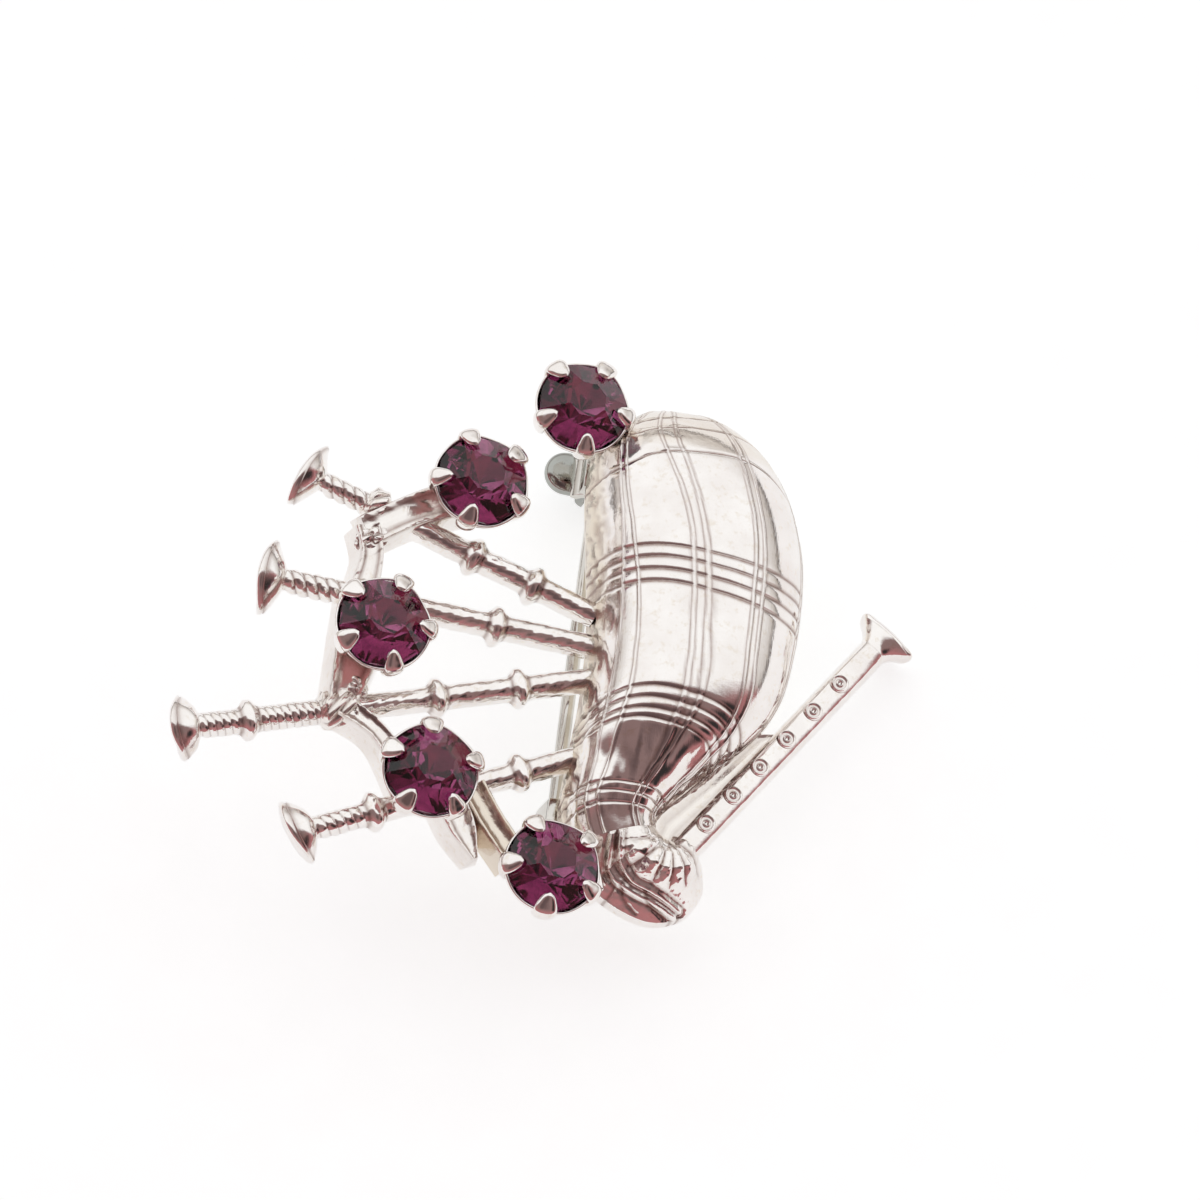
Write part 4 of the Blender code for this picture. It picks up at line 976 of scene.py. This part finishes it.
def metal(name, bright, dull, raw, stain, roughness, relief):
    """Worn plated metal: cloudy colour, stain in its crevices, fine scratches and raw cast relief."""
    material, n, shader, where = start_material(name)
    crevice = n.add("ShaderNodeAttribute", attribute_name="crevice").outputs["Fac"]
    cast = n.add("ShaderNodeAttribute", attribute_name="cast").outputs["Fac"]
    clouds = n.noise(where, 420.0, 4.0)
    grain = n.noise(where, 2600.0)
    worn = n.noise(where, 2100.0, 6.0, 0.65)
    pits = n.noise(where, 1150.0, 5.0, 0.6)
    links = (("Vector", where), ("Rotation", (0.1, 0.2, 0.5)), ("Scale", (14000.0, 900.0, 900.0)))
    scratch = n.noise(n.add("ShaderNodeMapping", *links).outputs[0], 1.0, 2.0, 0.7)
    colour = n.mix(n.spread(clouds, 0.38, 0.66), bright, dull)
    colour = n.mix(n.spread(worn, 0.54, 0.68, 0.0, 0.45), colour, raw)
    colour = n.mix(n.spread(cast, 0.3, 1.0, 0.0, 0.9), colour, raw)
    dirt = n.maths("MULTIPLY", crevice, n.spread(grain, 0.25, 0.7, 0.75, 1.0))
    colour = n.mix(dirt, colour, stain)
    shine = n.spread(n.maths("ADD", scratch, clouds), 0.7, 1.35, roughness * 0.7, roughness * 1.5)
    shine = n.total(shine, (cast, 0.10), (crevice, 0.18))
    lumps = n.maths("MULTIPLY", grain, cast)
    height = n.total(n.maths("MULTIPLY", scratch, 0.10), (lumps, 0.9), (pits, 0.30))
    uneven = n.add("ShaderNodeBump", ("Height", height), ("Strength", relief), ("Distance", 0.00006))
    n.feed(shader, ("Base Color", colour), ("Metallic", 1.0), ("Roughness", shine))
    n.feed(shader, ("Normal", uneven.outputs["Normal"]))
    return material


def glass():
    """Deep amethyst glass, a little uneven in colour, with rubbed facets."""
    material, n, shader, where = start_material("amethyst")
    colour = n.mix(n.spread(n.noise(where, 300.0, 2.0), 0.35, 0.65), *GLASS_TONES)
    rubbed = n.spread(n.noise(where, 1700.0, 4.0, 0.7), 0.45, 0.75, 0.006, 0.03)
    n.feed(shader, ("Base Color", colour), ("Roughness", rubbed))
    n.feed(shader, ("IOR", GLASS_INDEX), ("Transmission Weight", 1.0))
    return material


def foil():
    """Mirror foil on the back of a stone, with small blemishes."""
    material, n, shader, where = start_material("foil")
    spots = n.noise(where, 1300.0, 4.0)
    colour = n.mix(n.spread(spots, 0.4, 0.7), *FOIL_TONES)
    blemish = n.spread(spots, 0.4, 0.7, 0.02, 0.09)
    n.feed(shader, ("Base Color", colour), ("Metallic", 1.0), ("Roughness", blemish))
    return material


def lay_table():
    """Pale table that glows for the camera and in reflections."""
    mesh = bpy.data.meshes.new("table")
    mesh.from_pydata(ring_points([3.0], [0.0], 96).tolist(), [], [tuple(range(96))])
    table = add_object("table", mesh)
    table.location.z = -0.00002
    material, n, shader, where = start_material("table")
    colour = n.mix(n.spread(n.noise(where, 260.0, 4.0), 0.3, 0.7), *TABLE_TONES)
    path = n.add("ShaderNodeLightPath").outputs
    mirrored = n.maths("MAXIMUM", path["Is Glossy Ray"], path["Is Transmission Ray"])
    glow = n.maths("MULTIPLY", path["Is Camera Ray"], TABLE_GLOW)
    glow = n.maths("MAXIMUM", glow, n.maths("MULTIPLY", mirrored, TABLE_GLOW * MIRRORED_GLOW))
    n.feed(shader, ("Base Color", colour), ("Roughness", 0.9), ("Specular IOR Level", 0.1))
    n.feed(shader, ("Emission Color", WHITE), ("Emission Strength", glow))
    mesh.materials.append(material)


def direction(azimuth, elevation):
    """Unit vector towards an azimuth from the front and an elevation, in degrees."""
    a, e = radians(azimuth), radians(elevation)
    return sin(a) * cos(e), -cos(a) * cos(e), sin(e)


def surround():
    """World with a pale screen behind the brooch and a plum room in front, white for the camera."""
    world = bpy.data.worlds.new("tent")
    bpy.context.scene.world = world
    world.use_nodes = True
    n = Nodes(world.node_tree)
    look = n.add("ShaderNodeTexCoord").outputs["Generated"]

    def patch(azimuth, elevation, outer, inner):
        centre = direction(azimuth, elevation)
        made = n.add("ShaderNodeVectorMath", (0, look), (1, centre), operation="DOT_PRODUCT")
        return n.spread(made.outputs["Value"], *np.cos(np.radians((outer, inner))))

    away = n.add("ShaderNodeSeparateXYZ", ("Vector", look)).outputs
    screen = n.mix(n.spread(away["Z"], 0.10, 0.45), SCREEN_LOW, WHITE)
    screen = n.mix(n.spread(away["Z"], 0.03, 0.10), SCREEN_FOOT, screen)
    room = n.mix(n.spread(away["Z"], 0.25, 0.75), ROOM_LOW, ROOM_HIGH)
    room = n.mix(patch(*SHADE), room, SHADE_TONE)
    room = n.mix(patch(*PATCH), room, PATCH_TONE)
    lit = n.maths("SUBTRACT", away["Y"], n.maths("MULTIPLY", away["Z"], 0.05))
    colour = n.mix(n.spread(lit, -0.06, 0.08), room, screen)
    seen = n.add("ShaderNodeLightPath").outputs["Is Camera Ray"]
    n.feed(n.tree.nodes["Background"], ("Color", n.mix(seen, colour, WHITE)), ("Strength", 1.0))


def aim_camera():
    """Camera that looks at the brooch's origin from the photo's angle."""
    camera = add_object("camera", bpy.data.cameras.new("camera"))
    a = radians(CAMERA_AZIMUTH)
    right = Vector((cos(a), sin(a), 0))
    back = Vector(direction(CAMERA_AZIMUTH, CAMERA_ELEVATION))
    matrix = Matrix((right, back.cross(right), back)).transposed().to_4x4()
    matrix.translation = Vector(ORIGIN) + back * CAMERA_DISTANCE
    camera.matrix_world = matrix
    camera.data.sensor_width = SENSOR
    camera.data.lens = SENSOR * CAMERA_DISTANCE * PIXELS_PER_METRE / IMAGE_SIZE
    camera.data.clip_start = 0.01
    bpy.context.scene.camera = camera
    bpy.context.scene.view_settings.view_transform = "Standard"


def main():
    silver, nickel, shaded_nickel = (metal(name, *look) for name, look in METALS.items())
    clear, mirror = glass(), foil()

    def cast(name, made, *nodes, sharp=40):
        """Silver piece with its shape, the stain in its crevices and how raw its surface is."""
        shape, crevice, raw = made
        piece(name, shape, [silver], nodes, marks={"crevice": crevice, "cast": raw}, sharp=sharp)

    cast("bag", bag(), "bag_shell", sharp=60)
    cast("cuff", cuff(), "neck_cuff", sharp=60)
    cast("back_plate", back_plate(), "bag_back_plate")
    for seed, (name, spec) in enumerate(PIPES.items()):
        cast(name + "_cast", pipe(spec, 1.0 + seed), name, sharp=60)
    for seed, (name, spec) in enumerate(WRAPS.items()):
        cast(name, wrap(spec, 0.7 * seed), sharp=70)
    cast("chanter_cast", chanter(), "chanter", sharp=50)
    cast("chanter_web_cast", web(), "chanter_web")
    for seed, (name, points) in enumerate(RIBBONS.items()):
        sink = DEEP_SINK.get(name, RIBBON_SINK)
        cast(name + "_cast", ribbon(points, 1.0 + seed, sink), name)
    for name, spec in KNOTS.items():
        cast(name, knot(*spec), sharp=70)
    for name, spec in LUGS.items():
        piece(name + "_cast", lug(spec), [silver], [name])
    for number, (place, level, turn) in enumerate(STONES, 1):
        girdle = place + (level + SETTING_HEIGHT,)
        shape, *marks = setting(turn, number)
        cast(f"setting_{number}", (shift(shape, girdle), *marks), f"stone_{number}_setting", sharp=55)
        shape, pick = stone()
        gem = {"slot": "stone_glass", "sharp": 0, "pick": pick, "nodes": [f"stone_{number}"]}
        piece(f"gem_{number}", shift(shape, girdle), [clear, mirror], **gem)
    hinge = (PIN_LINE, HINGE_PLACE, PIN_LEVEL)
    catch = (PIN_LINE, CATCH_PLACE, PIN_LEVEL)
    pin = {"slot": "pin_metal", "sharp": 30}
    piece("hinge_ears", shift(hinge_bracket(), hinge), [nickel], ["hinge_bracket"], **pin)
    piece("hinge_pin", shift(hinge_rivet(), hinge), [nickel], ["hinge_rivet"], **pin)
    piece("pin_wire", shift(pin_stem(), hinge), [nickel], ["pin_stem"], body="stem", **pin)
    piece("catch_clasp", shift(catch_housing(), catch), [nickel], ["catch_housing"], **pin)
    # The rotor takes the darkened nickel, a painted shade for where it lies in the bag's shadow
    piece("catch_sleeve", shift(catch_rotor(), catch), [shaded_nickel], ["catch_rotor"], body="rotor", **pin)
    lay_table()
    surround()
    aim_camera()


main()
